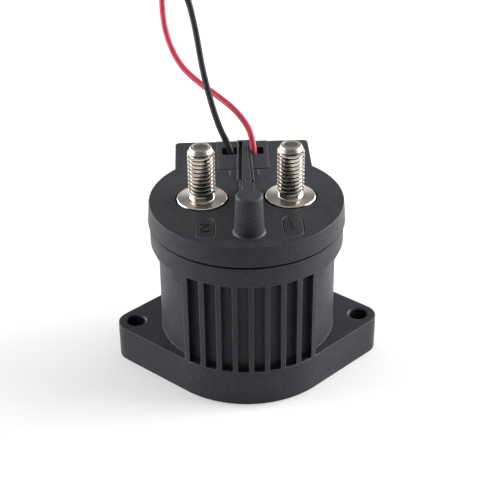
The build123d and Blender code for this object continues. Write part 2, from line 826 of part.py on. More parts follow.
# Coil bobbin with the lug that holds the two coil pins
with BuildPart() as bobbin:
    with BuildSketch(Plane.XZ):
        with BuildLine():
            Polyline(
                (bobbin_bore_r, bobbin_z),
                (bobbin_flange_r, bobbin_z),
                (bobbin_flange_r, bobbin_z + bobbin_flange_t),
                (barrel_r, bobbin_z + bobbin_flange_t),
                (barrel_r, bobbin_top_z - bobbin_flange_t),
                (bobbin_flange_r, bobbin_top_z - bobbin_flange_t),
                (bobbin_flange_r, bobbin_top_z),
                (bobbin_bore_r, bobbin_top_z),
                close=True,
            )
        make_face()
    revolve(axis=Axis.Z)
    with BuildSketch(Plane.XY.offset(bobbin_top_z - lug_h)):
        Circle(can_r - can_wall - bobbin_clearance)
        with Locations((0, winding_r + wrap_t + can_r / 2)):
            Rectangle(2 * lug_half_w, can_r, mode=Mode.INTERSECT)
    extrude(amount=lug_h)
    with BuildSketch(Plane.XY.offset(bobbin_top_z - pin_sink)):
        with Locations((-pin_x, pin_y), (pin_x, pin_y)):
            Circle(pin_r)
    extrude(amount=pin_sink, mode=Mode.SUBTRACT)
write(bobbin, "bobbin")

with BuildPart() as coil_winding:
    with BuildSketch(Plane.XY.offset(bobbin_z + bobbin_flange_t + winding_clearance)):
        Circle(winding_r)
        Circle(barrel_r + winding_clearance, mode=Mode.SUBTRACT)
    extrude(amount=bobbin_top_z - bobbin_z - 2 * bobbin_flange_t - 2 * winding_clearance)
write(coil_winding, "coil_winding")

with BuildPart() as coil_wrap:
    with BuildSketch(Plane.XY.offset(bobbin_z + bobbin_flange_t + winding_clearance)):
        Circle(winding_r + wrap_t)
        Circle(winding_r, mode=Mode.SUBTRACT)
    extrude(amount=bobbin_top_z - bobbin_z - 2 * bobbin_flange_t - 2 * winding_clearance)
write(coil_wrap, "coil_wrap")

with BuildPart() as coil_pins:
    with BuildSketch(Plane.XY.offset(bobbin_top_z - pin_sink)):
        with Locations((-pin_x, pin_y), (pin_x, pin_y)):
            Circle(pin_r)
    extrude(amount=board_top_z + pin_above_board - bobbin_top_z + pin_sink)
write(coil_pins, "coil_pins")

# Moving core, with the pocket that the return spring stands in and the shaft's press fit
with BuildPart() as moving_core:
    with BuildSketch(Plane.XZ):
        with BuildLine():
            Polyline(
                (0, core_bottom_z),
                (core_r - soft_edge, core_bottom_z),
                (core_r, core_bottom_z + soft_edge),
                (core_r, core_top_z),
                (spring_pocket_r, core_top_z),
                (spring_pocket_r, core_top_z - moving_pocket_depth),
                (shaft_r, core_top_z - moving_pocket_depth),
                (shaft_r, core_bottom_z + shaft_foot),
                (0, core_bottom_z + shaft_foot),
                close=True,
            )
        make_face()
    revolve(axis=Axis.Z)
write(moving_core, "moving_core")

# Plunger shaft, the seat of the contact spring, and the clip above the bridge
shaft_top_z = bridge_top_z + shaft_above_bridge
clip_z = bridge_top_z + clip_gap
with BuildPart() as plunger_shaft:
    with BuildSketch(Plane.XY.offset(core_bottom_z + shaft_foot)):
        Circle(shaft_r)
    extrude(amount=shaft_top_z - core_bottom_z - shaft_foot)
    chamfer(plunger_shaft.edges().group_by(Axis.Z)[-1], soft_edge)
    with BuildSketch(Plane.XY.offset(clip_z)):
        Circle(shaft_r)
        Circle(shaft_r - soft_edge, mode=Mode.SUBTRACT)
    extrude(amount=clip_t, mode=Mode.SUBTRACT)
write(plunger_shaft, "plunger_shaft")

with BuildPart() as spring_seat:
    with BuildSketch(Plane.XY.offset(seat_z)):
        Circle(seat_r)
        Circle(shaft_r, mode=Mode.SUBTRACT)
    extrude(amount=seat_t)
write(spring_seat, "spring_seat")

with BuildPart() as shaft_clip:
    with BuildSketch(Plane.XY.offset(clip_z)):
        Circle(clip_r)
        Circle(shaft_r - soft_edge, mode=Mode.SUBTRACT)
        with Locations((0, -clip_r)):
            Rectangle(clip_mouth, 2 * clip_r, mode=Mode.SUBTRACT)
    extrude(amount=clip_t)
write(shaft_clip, "shaft_clip")

# Contact bridge on the shaft, with a tip at each end
with BuildPart() as contact_bridge:
    with BuildSketch(Plane.XY.offset(bridge_bottom_z)):
        with Locations((0, stud_y)):
            SlotCenterToCenter(2 * stud_x, bridge_w)
        Circle(shaft_r + bridge_hole_clearance, mode=Mode.SUBTRACT)
    extrude(amount=bridge_t)
write(contact_bridge, "contact_bridge")

with BuildPart() as moving_contact_tips:
    with BuildSketch(Plane.XY.offset(bridge_top_z)):
        with Locations((-stud_x, stud_y), (stud_x, stud_y)):
            Circle(tip_r)
    extrude(amount=moving_tip_t)
    chamfer(moving_contact_tips.edges().group_by(Axis.Z)[-1], soft_edge / 2)
write(moving_contact_tips, "moving_contact_tips")


def spring_path(coil_r, turns, low_z, high_z):
    # Straight helix between two seats
    return Helix(
        pitch=(high_z - low_z) / turns,
        height=high_z - low_z,
        radius=coil_r,
        center=(0, 0, low_z),
    )


# Return spring between the cores, and contact spring between its seat and the bridge
return_low_z = core_top_z - moving_pocket_depth + return_wire_r + spring_end_gap
return_high_z = fixed_core_bottom_z + fixed_pocket_depth - return_wire_r - spring_end_gap
with BuildPart() as return_spring:
    with BuildLine():
        spring_path(return_coil_r, return_turns, return_low_z, return_high_z)
    with BuildSketch(Plane((return_coil_r, 0, return_low_z), x_dir=(1, 0, 0), z_dir=(0, 1, 0))):
        RegularPolygon(return_wire_r, 8)
    sweep(is_frenet=True)
write(return_spring, "return_spring")

contact_low_z = seat_z + seat_t + contact_wire_r + spring_end_gap
contact_high_z = bridge_bottom_z - contact_wire_r - spring_end_gap
with BuildPart() as contact_spring:
    with BuildLine():
        spring_path(contact_coil_r, contact_turns, contact_low_z, contact_high_z)
    with BuildSketch(Plane((contact_coil_r, 0, contact_low_z), x_dir=(1, 0, 0), z_dir=(0, 1, 0))):
        RegularPolygon(contact_wire_r, 8)
    sweep(is_frenet=True)
write(contact_spring, "contact_spring")

# Control board on the divider, the carrier and the rear posts
with BuildPart() as control_board:
    board_rear_y = box_inner_y - board_edge_gap
    with BuildSketch(Plane.XY.offset(divider_top_z)):
        with Locations((0, (board_front_y + board_rear_y) / 2)):
            Rectangle(2 * board_half_l, board_rear_y - board_front_y)
        with Locations((-pin_x, pin_y), (pin_x, pin_y)):
            Circle(pin_r + board_hole_clearance, mode=Mode.SUBTRACT)
    extrude(amount=board_t)
write(control_board, "control_board")

with BuildPart() as capacitor:
    with BuildSketch(Plane.XY.offset(divider_top_z - capacitor_h)):
        with Locations((capacitor_x, capacitor_y)):
            Circle(capacitor_r)
    extrude(amount=capacitor_h)
    chamfer(capacitor.edges().group_by(Axis.Z)[0], soft_edge)
write(capacitor, "capacitor")

on_board = (Align.CENTER, Align.CENTER, Align.MIN)

with BuildPart() as power_transistor:
    with Locations((transistor_x, part_y, board_top_z)):
        Box(*transistor_size, align=on_board)
    chamfer(power_transistor.edges().group_by(Axis.Z)[-1], part_bevel)
    leg_y = part_y - (transistor_size[1] + transistor_leg[1]) / 2 + soft_edge
    with Locations((transistor_x, leg_y, board_top_z)):
        with GridLocations(transistor_leg_pitch, 0, 2, 1):
            Box(*transistor_leg, align=on_board)
write(power_transistor, "power_transistor")

with BuildPart() as flyback_diode:
    with Locations((diode_x, part_y, board_top_z)):
        Box(*diode_size, align=on_board)
    chamfer(flyback_diode.edges().group_by(Axis.Z)[-1], part_bevel)
write(flyback_diode, "flyback_diode")

with BuildPart() as control_chip:
    with Locations((0, chip_y, board_top_z)):
        Box(*chip_size, align=on_board)
        with GridLocations(chip_leg_pitch, chip_size[1] + chip_leg[1] / 2, 4, 2):
            Box(*chip_leg, align=on_board)
write(control_chip, "control_chip")

with BuildPart() as chip_resistors:
    with Locations((-resistor_x, resistor_y, board_top_z), (resistor_x, resistor_y, board_top_z)):
        with GridLocations(0, resistor_pitch, 1, 3):
            Box(*resistor_size, align=on_board)
write(chip_resistors, "chip_resistors")

# Leads: each rises from the board through its window, arches over behind the cover, comes down
# on the ground behind the base and lies there in a flat coil with a stripped end
black_route = [
    (-2.6, 29.3, 46.0),
    (-2.6, 29.3, 51.9),
    (-4.8, 30.5, 57.1),
    (-7.4, 34.6, 61.5),
    (-9.9, 42.0, 67.9),
    (-12.0, 49.5, 75.1),
    (-13.4, 57.5, 82.9),
    (-15.5, 66.8, 90.2),
    (-19.8, 77.5, 97.3),
    (-19.7, 91.9, 92.7),
    (-15.5, 98.6, 78.9),
    (-13.8, 103.0, 65.0),
    (-11.9, 106.0, 51.2),
    (-9.5, 108.0, 38.2),
    (-6.5, 109.5, 25.5),
    (-1.5, 110.1, 15.5),
    (-2.3, 108.2, 7.9),
    (-3.7, 102.3, 2.9),
    (-3.7, 94.9, 1.05),
    (-3.7, 91.0, 1.05),
]
red_route = [
    (3.7, 29.4, 46.0),
    (3.7, 29.4, 51.4),
    (3.4, 31.6, 56.8),
    (2.3, 34.6, 60.3),
    (-1.6, 40.1, 63.8),
    (-6.9, 46.0, 66.0),
    (-13.6, 52.4, 68.6),
    (-19.0, 57.6, 72.1),
    (-22.6, 63.0, 77.9),
    (-24.4, 68.1, 84.6),
    (-24.4, 75.8, 93.7),
    (-24.4, 83.0, 98.5),
    (-24.6, 91.1, 99.4),
    (-25.0, 98.3, 95.9),
    (-25.8, 106.1, 83.3),
    (-25.7, 109.5, 70.1),
    (-23.8, 111.2, 58.1),
    (-19.6, 112.6, 48.4),
    (-13.5, 114.1, 41.4),
    (-6.0, 115.8, 34.7),
    (0.9, 117.0, 27.9),
    (6.0, 116.8, 19.9),
    (7.2, 114.6, 13.7),
    (7.6, 109.4, 7.7),
    (7.9, 99.0, 2.5),
    (7.9, 91.6, 1.05),
    (7.9, 87.6, 1.05),
]
black_coil_centre = (-15.5, 86.5)
red_coil_centre = (19.7, 83.0)


def bend_radii(points):
    # Each arc is as large as its two runs allow: 0.45 of the shorter run over tan(half the turn)
    radii = []
    for before, corner, after in zip(points, points[1:], points[2:]):
        run_in = Vector(*corner) - Vector(*before)
        run_out = Vector(*after) - Vector(*corner)
        half_turn = radians(run_in.get_angle(run_out)) / 2
        radii.append(0.45 * min(run_in.length, run_out.length) / tan(half_turn))
    return radii


lead_sets = (
    ("black_lead", black_route, black_coil_centre),
    ("red_lead", red_route, red_coil_centre),
)
inner_turn_r = coil_turn_r - coil_pitch * coil_turns
for label, route, centre in lead_sets:
    radii = bend_radii(route)
    with BuildPart() as lead:
        with BuildLine() as line:
            FilletPolyline(*route, radius=radii)
        start = Vector(*route[1]) - Vector(*route[0])
        with BuildSketch(Plane(origin=route[0], z_dir=start)):
            Circle(lead_r)
        sweep()
    write(lead, label)
    length = sum(edge.length for edge in line.edges())
    print(label, "tube length", round(length, 1), "least radius", round(min(radii), 1))
    print("  volume over section times length", round(lead.part.volume / (pi * lead_r**2 * length), 4))
    # The flat coil: a spiral that starts at the lead's end and winds inwards
    turned = pi * (coil_turn_r + inner_turn_r) * coil_turns
    print("  coil length", round(turned, 1), "whole lead", round(length + turned, 1))
    with BuildPart() as lead_coil:
        with BuildSketch(Plane.XY.offset(coil_air)):
            with Locations(centre):
                Circle(coil_turn_r + lead_r)
                Circle(inner_turn_r - lead_r, mode=Mode.SUBTRACT)
        extrude(amount=2 * lead_r)
    write(lead_coil, label + "_coil")

# Stripped strands at the inner end of each coil, turned a little inwards
with BuildPart() as lead_ends:
    for centre, side in ((black_coil_centre, 1), (red_coil_centre, -1)):
        strand_start = (centre[0] + side * inner_turn_r, centre[1], coil_air + lead_r)
        strand_way = (-side * sin(radians(strip_turn)), -cos(radians(strip_turn)), 0)
        with BuildSketch(Plane(origin=strand_start, z_dir=strand_way)):
            Circle(wire_r)
        extrude(amount=strip_l)
write(lead_ends, "lead_ends")
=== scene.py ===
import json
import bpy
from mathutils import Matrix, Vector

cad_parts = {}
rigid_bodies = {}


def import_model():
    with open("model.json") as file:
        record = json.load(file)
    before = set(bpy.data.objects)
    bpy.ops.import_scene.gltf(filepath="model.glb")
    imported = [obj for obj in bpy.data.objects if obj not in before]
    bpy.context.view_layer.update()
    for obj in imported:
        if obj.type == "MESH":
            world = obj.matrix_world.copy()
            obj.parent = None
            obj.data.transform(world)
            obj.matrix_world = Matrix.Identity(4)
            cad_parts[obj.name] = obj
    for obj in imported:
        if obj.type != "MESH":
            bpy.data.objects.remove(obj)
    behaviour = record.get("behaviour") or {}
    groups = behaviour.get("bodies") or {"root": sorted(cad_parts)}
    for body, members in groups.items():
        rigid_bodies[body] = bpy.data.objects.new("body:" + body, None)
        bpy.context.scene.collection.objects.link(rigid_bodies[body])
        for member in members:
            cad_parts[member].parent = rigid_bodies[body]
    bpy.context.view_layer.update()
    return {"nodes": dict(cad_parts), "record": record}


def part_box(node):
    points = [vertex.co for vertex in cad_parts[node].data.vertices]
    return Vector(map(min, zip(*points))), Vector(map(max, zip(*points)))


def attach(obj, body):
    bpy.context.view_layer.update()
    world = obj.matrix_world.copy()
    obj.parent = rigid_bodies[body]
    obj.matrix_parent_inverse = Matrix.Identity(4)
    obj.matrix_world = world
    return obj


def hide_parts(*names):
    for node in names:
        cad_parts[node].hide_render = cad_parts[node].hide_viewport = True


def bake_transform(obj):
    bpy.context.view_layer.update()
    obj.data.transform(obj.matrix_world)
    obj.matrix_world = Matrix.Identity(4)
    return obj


bl_info = {
    "name": "High voltage DC contactor",
    "version": (1, 0, 0),
    "blender": (4, 5, 0),
    "location": "View3D > Sidebar > Contactor",
    "description": "Dresses the packed contactor: threads, leads, numbers, finishes and stage",
    "category": "Object",
}

from math import cos, pi, radians, sin

import bpy
from mathutils import Matrix, Vector

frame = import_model()

MM = 0.001

# Places on the cover's solid: its flat top, the gap under it, and the numbers' sunk frames
COVER_TOP = 54.15 * MM
GAP_LOW = 47.5 * MM
GAP_HIGH = 48.0 * MM
BADGE_X = 12.6 * MM
BADGE_Y = -17.0 * MM
BADGE_HALF_WIDTH = 3.6 * MM
BADGE_HALF_DEPTH = 3.8 * MM

# A terminal, from its shank up: flange drum, neck, thread and dished end
SHANK_R = 5.0 * MM
SHANK_H = 4.2 * MM
DRUM_R = 7.5 * MM
DRUM_H = 8.05 * MM
DRUM_BEVEL = 0.32 * MM
NECK_R = 3.6 * MM
NECK_H = 1.3 * MM
THREAD_TURNS = 11
THREAD_STEPS = 64
# The thread starts this far down the neck
THREAD_LEAD_IN = 0.1 * MM
END_R = 2.8 * MM
END_H = 1.8 * MM
DISH_R = 2.5 * MM
DISH_DEPTH = 0.25 * MM

# Two vertices closer than this are one
WELD = 0.001 * MM


# Small tools for modelling by hand


def deselect_all():
    if bpy.context.object and bpy.context.object.mode != "OBJECT":
        bpy.ops.object.mode_set(mode="OBJECT")
    bpy.ops.object.select_all(action="DESELECT")


def make_active(piece):
    deselect_all()
    piece.select_set(True)
    bpy.context.view_layer.objects.active = piece


def settle(piece):
    """Puts a finished piece's place into its mesh."""
    make_active(piece)
    bpy.ops.object.transform_apply(location=True, rotation=True, scale=True)


def finish_piece(piece, name, body, material, smooth_angle=30):
    piece.name = name
    piece.data.name = name
    settle(piece)
    bpy.ops.object.shade_smooth_by_angle(angle=radians(smooth_angle))
    piece.data.materials.clear()
    piece.data.materials.append(material)
    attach(piece, body)


def apply_modifier(piece, kind, **settings):
    make_active(piece)
    modifier = piece.modifiers.new(kind.title(), kind)
    for setting, value in settings.items():
        setattr(modifier, setting, value)
    bpy.ops.object.modifier_apply(modifier=modifier.name)


def start_profile(place):
    """One vertex at a place, as the start of a profile that is drawn by extruding it."""
    deselect_all()
    bpy.ops.mesh.primitive_plane_add(size=MM, location=(0, 0, 0))
    piece = bpy.context.object
    bpy.ops.object.mode_set(mode="EDIT")
    bpy.ops.mesh.select_all(action="SELECT")
    bpy.ops.mesh.merge(type="CENTER")
    bpy.ops.transform.translate(value=place)
    return piece


def draw_profile(points):
    """A chain of edges through the points, extruded one after another."""
    piece = start_profile(points[0])
    for before, after in zip(points, points[1:]):
        step = Vector(after) - Vector(before)
        bpy.ops.mesh.extrude_region_move(TRANSFORM_OT_translate={"value": step})
    bpy.ops.object.mode_set(mode="OBJECT")
    return piece


def grow_ring(old_ring, new_ring):
    """Extrudes the selected ring from (radius, height) to a new radius and height."""
    bpy.ops.mesh.extrude_region_move()
    ratio = new_ring[0] / old_ring[0]
    pivot = (0, 0, old_ring[1])
    bpy.ops.transform.resize(value=(ratio, ratio, 1), center_override=pivot)
    bpy.ops.transform.translate(value=(0, 0, new_ring[1] - old_ring[1]))


# Materials


# How far the softened normal has turned where the painted edge highlight starts, and where it is
# full
EDGE_START = 0.985
EDGE_FULL = 0.92
BEVEL_SAMPLES = 6


class Finish:
    """A principled material with the nodes that its grain and colour need."""

    def __init__(self, name, colour, roughness, metallic=0.0):
        self.material = bpy.data.materials.new(name)
        self.material.use_nodes = True
        self.tree = self.material.node_tree
        self.shader = self.tree.nodes["Principled BSDF"]
        self.shader.inputs["Base Color"].default_value = (*colour, 1)
        self.shader.inputs["Roughness"].default_value = roughness
        self.shader.inputs["Metallic"].default_value = metallic
        self.colour = colour
        self.last_normal = None

    def node(self, kind, **values):
        made = self.tree.nodes.new(kind)
        for key, value in values.items():
            if key in made.inputs:
                made.inputs[key].default_value = value
            else:
                setattr(made, key, value)
        return made

    def link(self, source, output, target, entry):
        self.tree.links.new(source.outputs[output], target.inputs[entry])

    def place(self, stretch=(1, 1, 1)):
        """The piece's own coordinates, stretched along an axis where a pattern is drawn out."""
        where = self.node("ShaderNodeTexCoord")
        mapping = self.node("ShaderNodeMapping")
        mapping.inputs["Scale"].default_value = stretch
        self.link(where, "Object", mapping, "Vector")
        return mapping

    def noise(self, size, detail=4.0, stretch=(1, 1, 1)):
        texture = self.node("ShaderNodeTexNoise", Scale=1 / size, Detail=detail)
        self.link(self.place(stretch), "Vector", texture, "Vector")
        return texture

    def bump(self, source, depth, strength=1.0):
        """A fine relief over those made before it."""
        bump = self.node("ShaderNodeBump", Distance=depth, Strength=strength)
        self.link(source, "Fac", bump, "Height")
        if self.last_normal:
            self.link(self.last_normal, "Normal", bump, "Normal")
        self.last_normal = bump
        self.link(bump, "Normal", self.shader, "Normal")

    def round_edges(self, radius):
        """Softens sharp edges in the shading, as on a moulded or machined piece."""
        self.bevel = self.node("ShaderNodeBevel", Radius=radius, samples=BEVEL_SAMPLES)
        self.last_normal = self.bevel
        self.link(self.bevel, "Normal", self.shader, "Normal")

    def edge_highlight_share(self):
        """1 along sharp edges and 0 away from them, from the softened normals."""
        flat = self.node("ShaderNodeNewGeometry")
        turn = self.node("ShaderNodeVectorMath", operation="DOT_PRODUCT")
        self.link(flat, "Normal", turn, 0)
        self.link(self.bevel, "Normal", turn, 1)
        return self.share(turn.outputs["Value"], EDGE_START, EDGE_FULL)

    def grain(self, size, depth, strength=1.0, stretch=(1, 1, 1)):
        self.bump(self.noise(size, stretch=stretch), depth, strength)

    def mottle(self, other_colour, size, low=0.35, high=0.65):
        """Lets the colour drift to another one over patches of a size."""
        ramp = self.node("ShaderNodeValToRGB")
        ramp.color_ramp.elements[0].position = low
        ramp.color_ramp.elements[0].color = (*self.colour, 1)
        ramp.color_ramp.elements[1].position = high
        ramp.color_ramp.elements[1].color = (*other_colour, 1)
        self.link(self.noise(size, 3.0), "Fac", ramp, "Fac")
        self.link(ramp, "Color", self.shader, "Base Color")

    def along(self, axis):
        """The place along an axis, from the piece's own coordinates."""
        where = self.node("ShaderNodeTexCoord")
        parts = self.node("ShaderNodeSeparateXYZ")
        self.link(where, "Object", parts, "Vector")
        return parts.outputs[axis]

    def calculate(self, operation, *values):
        """A calculation with one or two values, each a number or a socket."""
        made = self.node("ShaderNodeMath", operation=operation)
        for entry, value in zip(made.inputs, values):
            if isinstance(value, (int, float)):
                entry.default_value = value
            else:
                self.tree.links.new(value, entry)
        return made.outputs["Value"]

    def off(self, value, middle):
        """How far a value lies from a middle."""
        return self.calculate("ABSOLUTE", self.calculate("SUBTRACT", value, middle))

    def share(self, value, none, full):
        """Goes from 0 at one value to 1 at another."""
        spread = self.node("ShaderNodeMapRange")
        spread.inputs["From Min"].default_value = none
        spread.inputs["From Max"].default_value = full
        self.tree.links.new(value, spread.inputs["Value"])
        return spread.outputs["Result"]

    def all_of(self, *shares):
        """1 only where each of the shares is 1."""
        total = shares[0]
        for part in shares[1:]:
            total = self.calculate("MULTIPLY", total, part)
        return total

    def tint(self, mask, colour, roughness):
        """Gives the places of a mask a colour and a roughness of their own."""
        # The last two numbers are the places of the Mix node's sockets for that kind of value
        changes = (
            ("RGBA", "Base Color", (*colour, 1), 6, 2),
            ("FLOAT", "Roughness", roughness, 2, 0),
        )
        for kind, entry, value, first, result in changes:
            mix = self.node("ShaderNodeMix", data_type=kind)
            before = self.shader.inputs[entry].links[0].from_socket
            self.tree.links.new(mask, mix.inputs[0])
            self.tree.links.new(before, mix.inputs[first])
            mix.inputs[first + 1].default_value = value
            self.tree.links.new(mix.outputs[result], self.shader.inputs[entry])

    def uneven_gloss(self, low, high, size):
        """Lets the roughness drift between two values over patches of a size."""
        spread = self.node("ShaderNodeMapRange")
        spread.inputs["From Min"].default_value = 0.3
        spread.inputs["From Max"].default_value = 0.7
        spread.inputs["To Min"].default_value = low
        spread.inputs["To Max"].default_value = high
        self.link(self.noise(size, 5.0), "Fac", spread, "Value")
        self.link(spread, "Result", self.shader, "Roughness")


def shaded(colour, factor):
    """A colour made lighter or darker by a factor."""
    return [part * factor for part in colour]


# How far the shade of the gap reaches over the edges of the cover and the housing, and how it fades
GAP_SHADE_BELOW = 0.26 * MM
GAP_SHADE_ABOVE = 0.18 * MM
GAP_SHADE_FADE = 0.04 * MM
MARK_FADE = 0.1 * MM
MARK_DEPTH = 0.5 * MM


def case_plastic(sizes):
    colour = sizes.case_colour
    finish = Finish("case_plastic", colour, 0.45)
    finish.mottle(shaded(colour, 1.3), 9 * MM)
    finish.uneven_gloss(0.44, 0.56, 3 * MM)
    finish.round_edges(sizes.edge_round)
    finish.grain(0.3 * MM, 0.04 * MM, sizes.grain_strength)
    finish.grain(0.9 * MM, 0.02 * MM, 0.35 * sizes.grain_strength)
    finish.shader.inputs["Specular IOR Level"].default_value = 0.2
    # Fine light specks, as the grain shows them
    speck = finish.share(finish.noise(0.4 * MM, 1.0).outputs["Fac"], 0.52, 0.68)
    finish.tint(speck, shaded(colour, 2.0), 0.5)
    # Painted highlight: sharp edges are a little lighter, as where they catch the light
    finish.tint(finish.edge_highlight_share(), shaded(colour, 5.5), 0.4)
    # The sunk frames and the raised numbers hold shade in their narrow lines
    depth = finish.off(finish.along("Z"), COVER_TOP)
    across = finish.off(finish.calculate("ABSOLUTE", finish.along("X")), BADGE_X)
    along = finish.off(finish.along("Y"), BADGE_Y)
    marks = finish.all_of(
        finish.share(depth, 0.01 * MM, 0.05 * MM),
        finish.share(depth, MARK_DEPTH, MARK_DEPTH - 0.05 * MM),
        finish.share(across, BADGE_HALF_WIDTH, BADGE_HALF_WIDTH - MARK_FADE),
        finish.share(along, BADGE_HALF_DEPTH, BADGE_HALF_DEPTH - MARK_FADE),
    )
    finish.tint(marks, shaded(colour, 0.08), 0.9)
    # Black shade in the gap between the cover and the housing
    height = finish.along("Z")
    shade_low, shade_high = GAP_LOW - GAP_SHADE_BELOW, GAP_HIGH + GAP_SHADE_ABOVE
    gap = finish.all_of(
        finish.share(height, shade_low, shade_low + GAP_SHADE_FADE),
        finish.share(height, shade_high, shade_high - GAP_SHADE_FADE),
    )
    finish.tint(gap, (0.001, 0.001, 0.001), 1.0)
    return finish.material


def plated_terminal(sizes):
    colour = sizes.terminal_colour
    finish = Finish("plated_terminal", colour, 0.16, 1.0)
    finish.mottle(shaded(colour, 0.8), 3 * MM, 0.4, 0.7)
    finish.uneven_gloss(0.1, 0.24, 0.8 * MM)
    finish.grain(0.5 * MM, 0.006 * MM, 0.6, stretch=(1, 1, 6))
    # Both terminals stand at the same distance from the middle, so one radius serves them
    low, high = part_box("terminal_stud_right")
    across = finish.off(finish.calculate("ABSOLUTE", finish.along("X")), (low.x + high.x) / 2)
    along = finish.off(finish.along("Y"), (low.y + high.y) / 2)
    squares = [finish.calculate("MULTIPLY", part, part) for part in (across, along)]
    radius = finish.calculate("SQRT", finish.calculate("ADD", *squares))
    height = finish.along("Z")
    drum_top = low.z + SHANK_H + DRUM_H
    thread_low = drum_top + NECK_H
    thread_high = high.z - END_H
    # Shade in the thread's groove, where metal mirrors metal
    root = sizes.thread_root_r
    groove = finish.all_of(
        finish.share(radius, root + 0.28 * MM, root + 0.06 * MM),
        finish.share(height, thread_low, thread_low + 0.2 * MM),
        finish.share(height, thread_high + 0.2 * MM, thread_high),
    )
    finish.tint(groove, shaded(colour, 0.06), 0.35)
    # The turned end, its dish and the flange's face are duller and darker than the thread
    end = finish.share(height, thread_high + 0.1 * MM, thread_high + 0.25 * MM)
    finish.tint(end, shaded(colour, 0.6), 0.36)
    dish = finish.all_of(
        finish.share(radius, 2.2 * MM, 1.7 * MM),
        finish.share(height, high.z - 0.6 * MM, high.z - 0.5 * MM),
    )
    finish.tint(dish, shaded(colour, 0.34), 0.3)
    face_edge = DRUM_R - DRUM_BEVEL
    face = finish.all_of(
        finish.share(radius, sizes.thread_r + 0.1 * MM, sizes.thread_r + 0.4 * MM),
        finish.share(radius, face_edge, face_edge - 0.1 * MM),
    )
    finish.tint(face, shaded(colour, 0.85), 0.24)
    # Shade on the flange's side, down in its pocket
    side_top = drum_top - DRUM_BEVEL
    flange_side = finish.all_of(
        finish.share(radius, DRUM_R - 0.12 * MM, DRUM_R - 0.06 * MM),
        finish.share(height, side_top, side_top - 0.1 * MM),
    )
    finish.tint(flange_side, shaded(colour, 0.12), 0.4)
    return finish.material


def insulation(name, colour, roughness):
    finish = Finish(name, colour, roughness)
    finish.mottle(shaded(colour, 0.86), 6 * MM)
    finish.uneven_gloss(roughness - 0.06, roughness + 0.1, 1.5 * MM)
    finish.grain(0.5 * MM, 0.01 * MM, 0.4)
    finish.shader.inputs["Specular IOR Level"].default_value = 0.2
    return finish.material


def worked_metal(name, colour, roughness, patch=0.8):
    finish = Finish(name, colour, roughness, 1.0)
    finish.mottle(shaded(colour, patch), 4 * MM)
    finish.uneven_gloss(roughness * 0.8, roughness * 1.3, 1.0 * MM)
    finish.grain(0.3 * MM, 0.005 * MM, 0.5)
    return finish.material


def plain_solid(name, colour, roughness, grain_size=0.4 * MM, patch=1.2):
    finish = Finish(name, colour, roughness)
    finish.mottle(shaded(colour, patch), 5 * MM)
    finish.uneven_gloss(roughness - 0.08, roughness + 0.08, 1.5 * MM)
    finish.grain(grain_size, 0.01 * MM, 0.5)
    return finish.material


def dull_rubber():
    """The cover's seal, which shows as the black line between cover and housing."""
    finish = Finish("soft_rubber", (0.003, 0.003, 0.003), 0.9)
    finish.mottle((0.006, 0.006, 0.006), 3 * MM)
    finish.uneven_gloss(0.85, 0.95, 1.5 * MM)
    finish.grain(0.4 * MM, 0.01 * MM, 0.5)
    finish.shader.inputs["Specular IOR Level"].default_value = 0.03
    return finish.material


WIRE_PITCH = 0.2 * MM
# The Wave node turns by this many radians along each metre at a scale of 1
WAVE_RATE = 20


def winding_wire():
    """Enamelled copper wire, its turns shown by a fine wave along the coil's axis."""
    finish = Finish("winding_wire", (0.5, 0.2, 0.08), 0.28, 1.0)
    finish.mottle((0.36, 0.13, 0.05), 2 * MM)
    wave = finish.node("ShaderNodeTexWave", Scale=2 * pi / WIRE_PITCH / WAVE_RATE)
    wave.wave_type = "BANDS"
    wave.bands_direction = "Z"
    finish.link(finish.place(), "Vector", wave, "Vector")
    finish.bump(wave, 0.06 * MM)
    return finish.material


def board_laminate():
    finish = Finish("board_laminate", (0.02, 0.16, 0.07), 0.35)
    finish.mottle((0.015, 0.12, 0.05), 1.2 * MM)
    weave = finish.node("ShaderNodeTexWave", Scale=200.0, Distortion=0.5)
    finish.link(finish.place(), "Vector", weave, "Vector")
    finish.bump(weave, 0.01 * MM, 0.4)
    return finish.material


def make_finishes(sizes):
    """One material for each material slot of the record."""
    return {
        "case_plastic": case_plastic(sizes),
        "plated_terminal": plated_terminal(sizes),
        "black_insulation": insulation("black_insulation", sizes.black_lead_colour, 0.6),
        "red_insulation": insulation("red_insulation", sizes.red_lead_colour, 0.5),
        "soft_rubber": dull_rubber(),
        "contact_silver": worked_metal("contact_silver", (0.85, 0.84, 0.8), 0.3),
        "chamber_ceramic": plain_solid("chamber_ceramic", (0.82, 0.8, 0.76), 0.5, 0.25 * MM, 0.94),
        "seal_metal": worked_metal("seal_metal", (0.6, 0.58, 0.55), 0.35),
        "shield_plastic": plain_solid("shield_plastic", (0.66, 0.6, 0.48), 0.55),
        "bare_copper": worked_metal("bare_copper", (0.85, 0.42, 0.25), 0.3, 0.7),
        "ferrite": plain_solid("ferrite", (0.06, 0.06, 0.065), 0.6, 0.2 * MM),
        "inner_plastic": plain_solid("inner_plastic", (0.06, 0.06, 0.065), 0.5),
        "yoke_steel": worked_metal("yoke_steel", (0.55, 0.55, 0.54), 0.34),
        "sleeve_steel": worked_metal("sleeve_steel", (0.66, 0.65, 0.63), 0.22),
        "bobbin_plastic": plain_solid("bobbin_plastic", (0.08, 0.08, 0.085), 0.45),
        "enamelled_copper": winding_wire(),
        "wrap_tape": plain_solid("wrap_tape", (0.7, 0.5, 0.12), 0.3, 1.0 * MM),
        "tinned_metal": worked_metal("tinned_metal", (0.74, 0.73, 0.7), 0.25),
        "spring_steel": worked_metal("spring_steel", (0.58, 0.57, 0.55), 0.25),
        "board_green": board_laminate(),
        "part_black": plain_solid("part_black", (0.02, 0.02, 0.022), 0.5),
    }


# The sizes and colours that a user would change


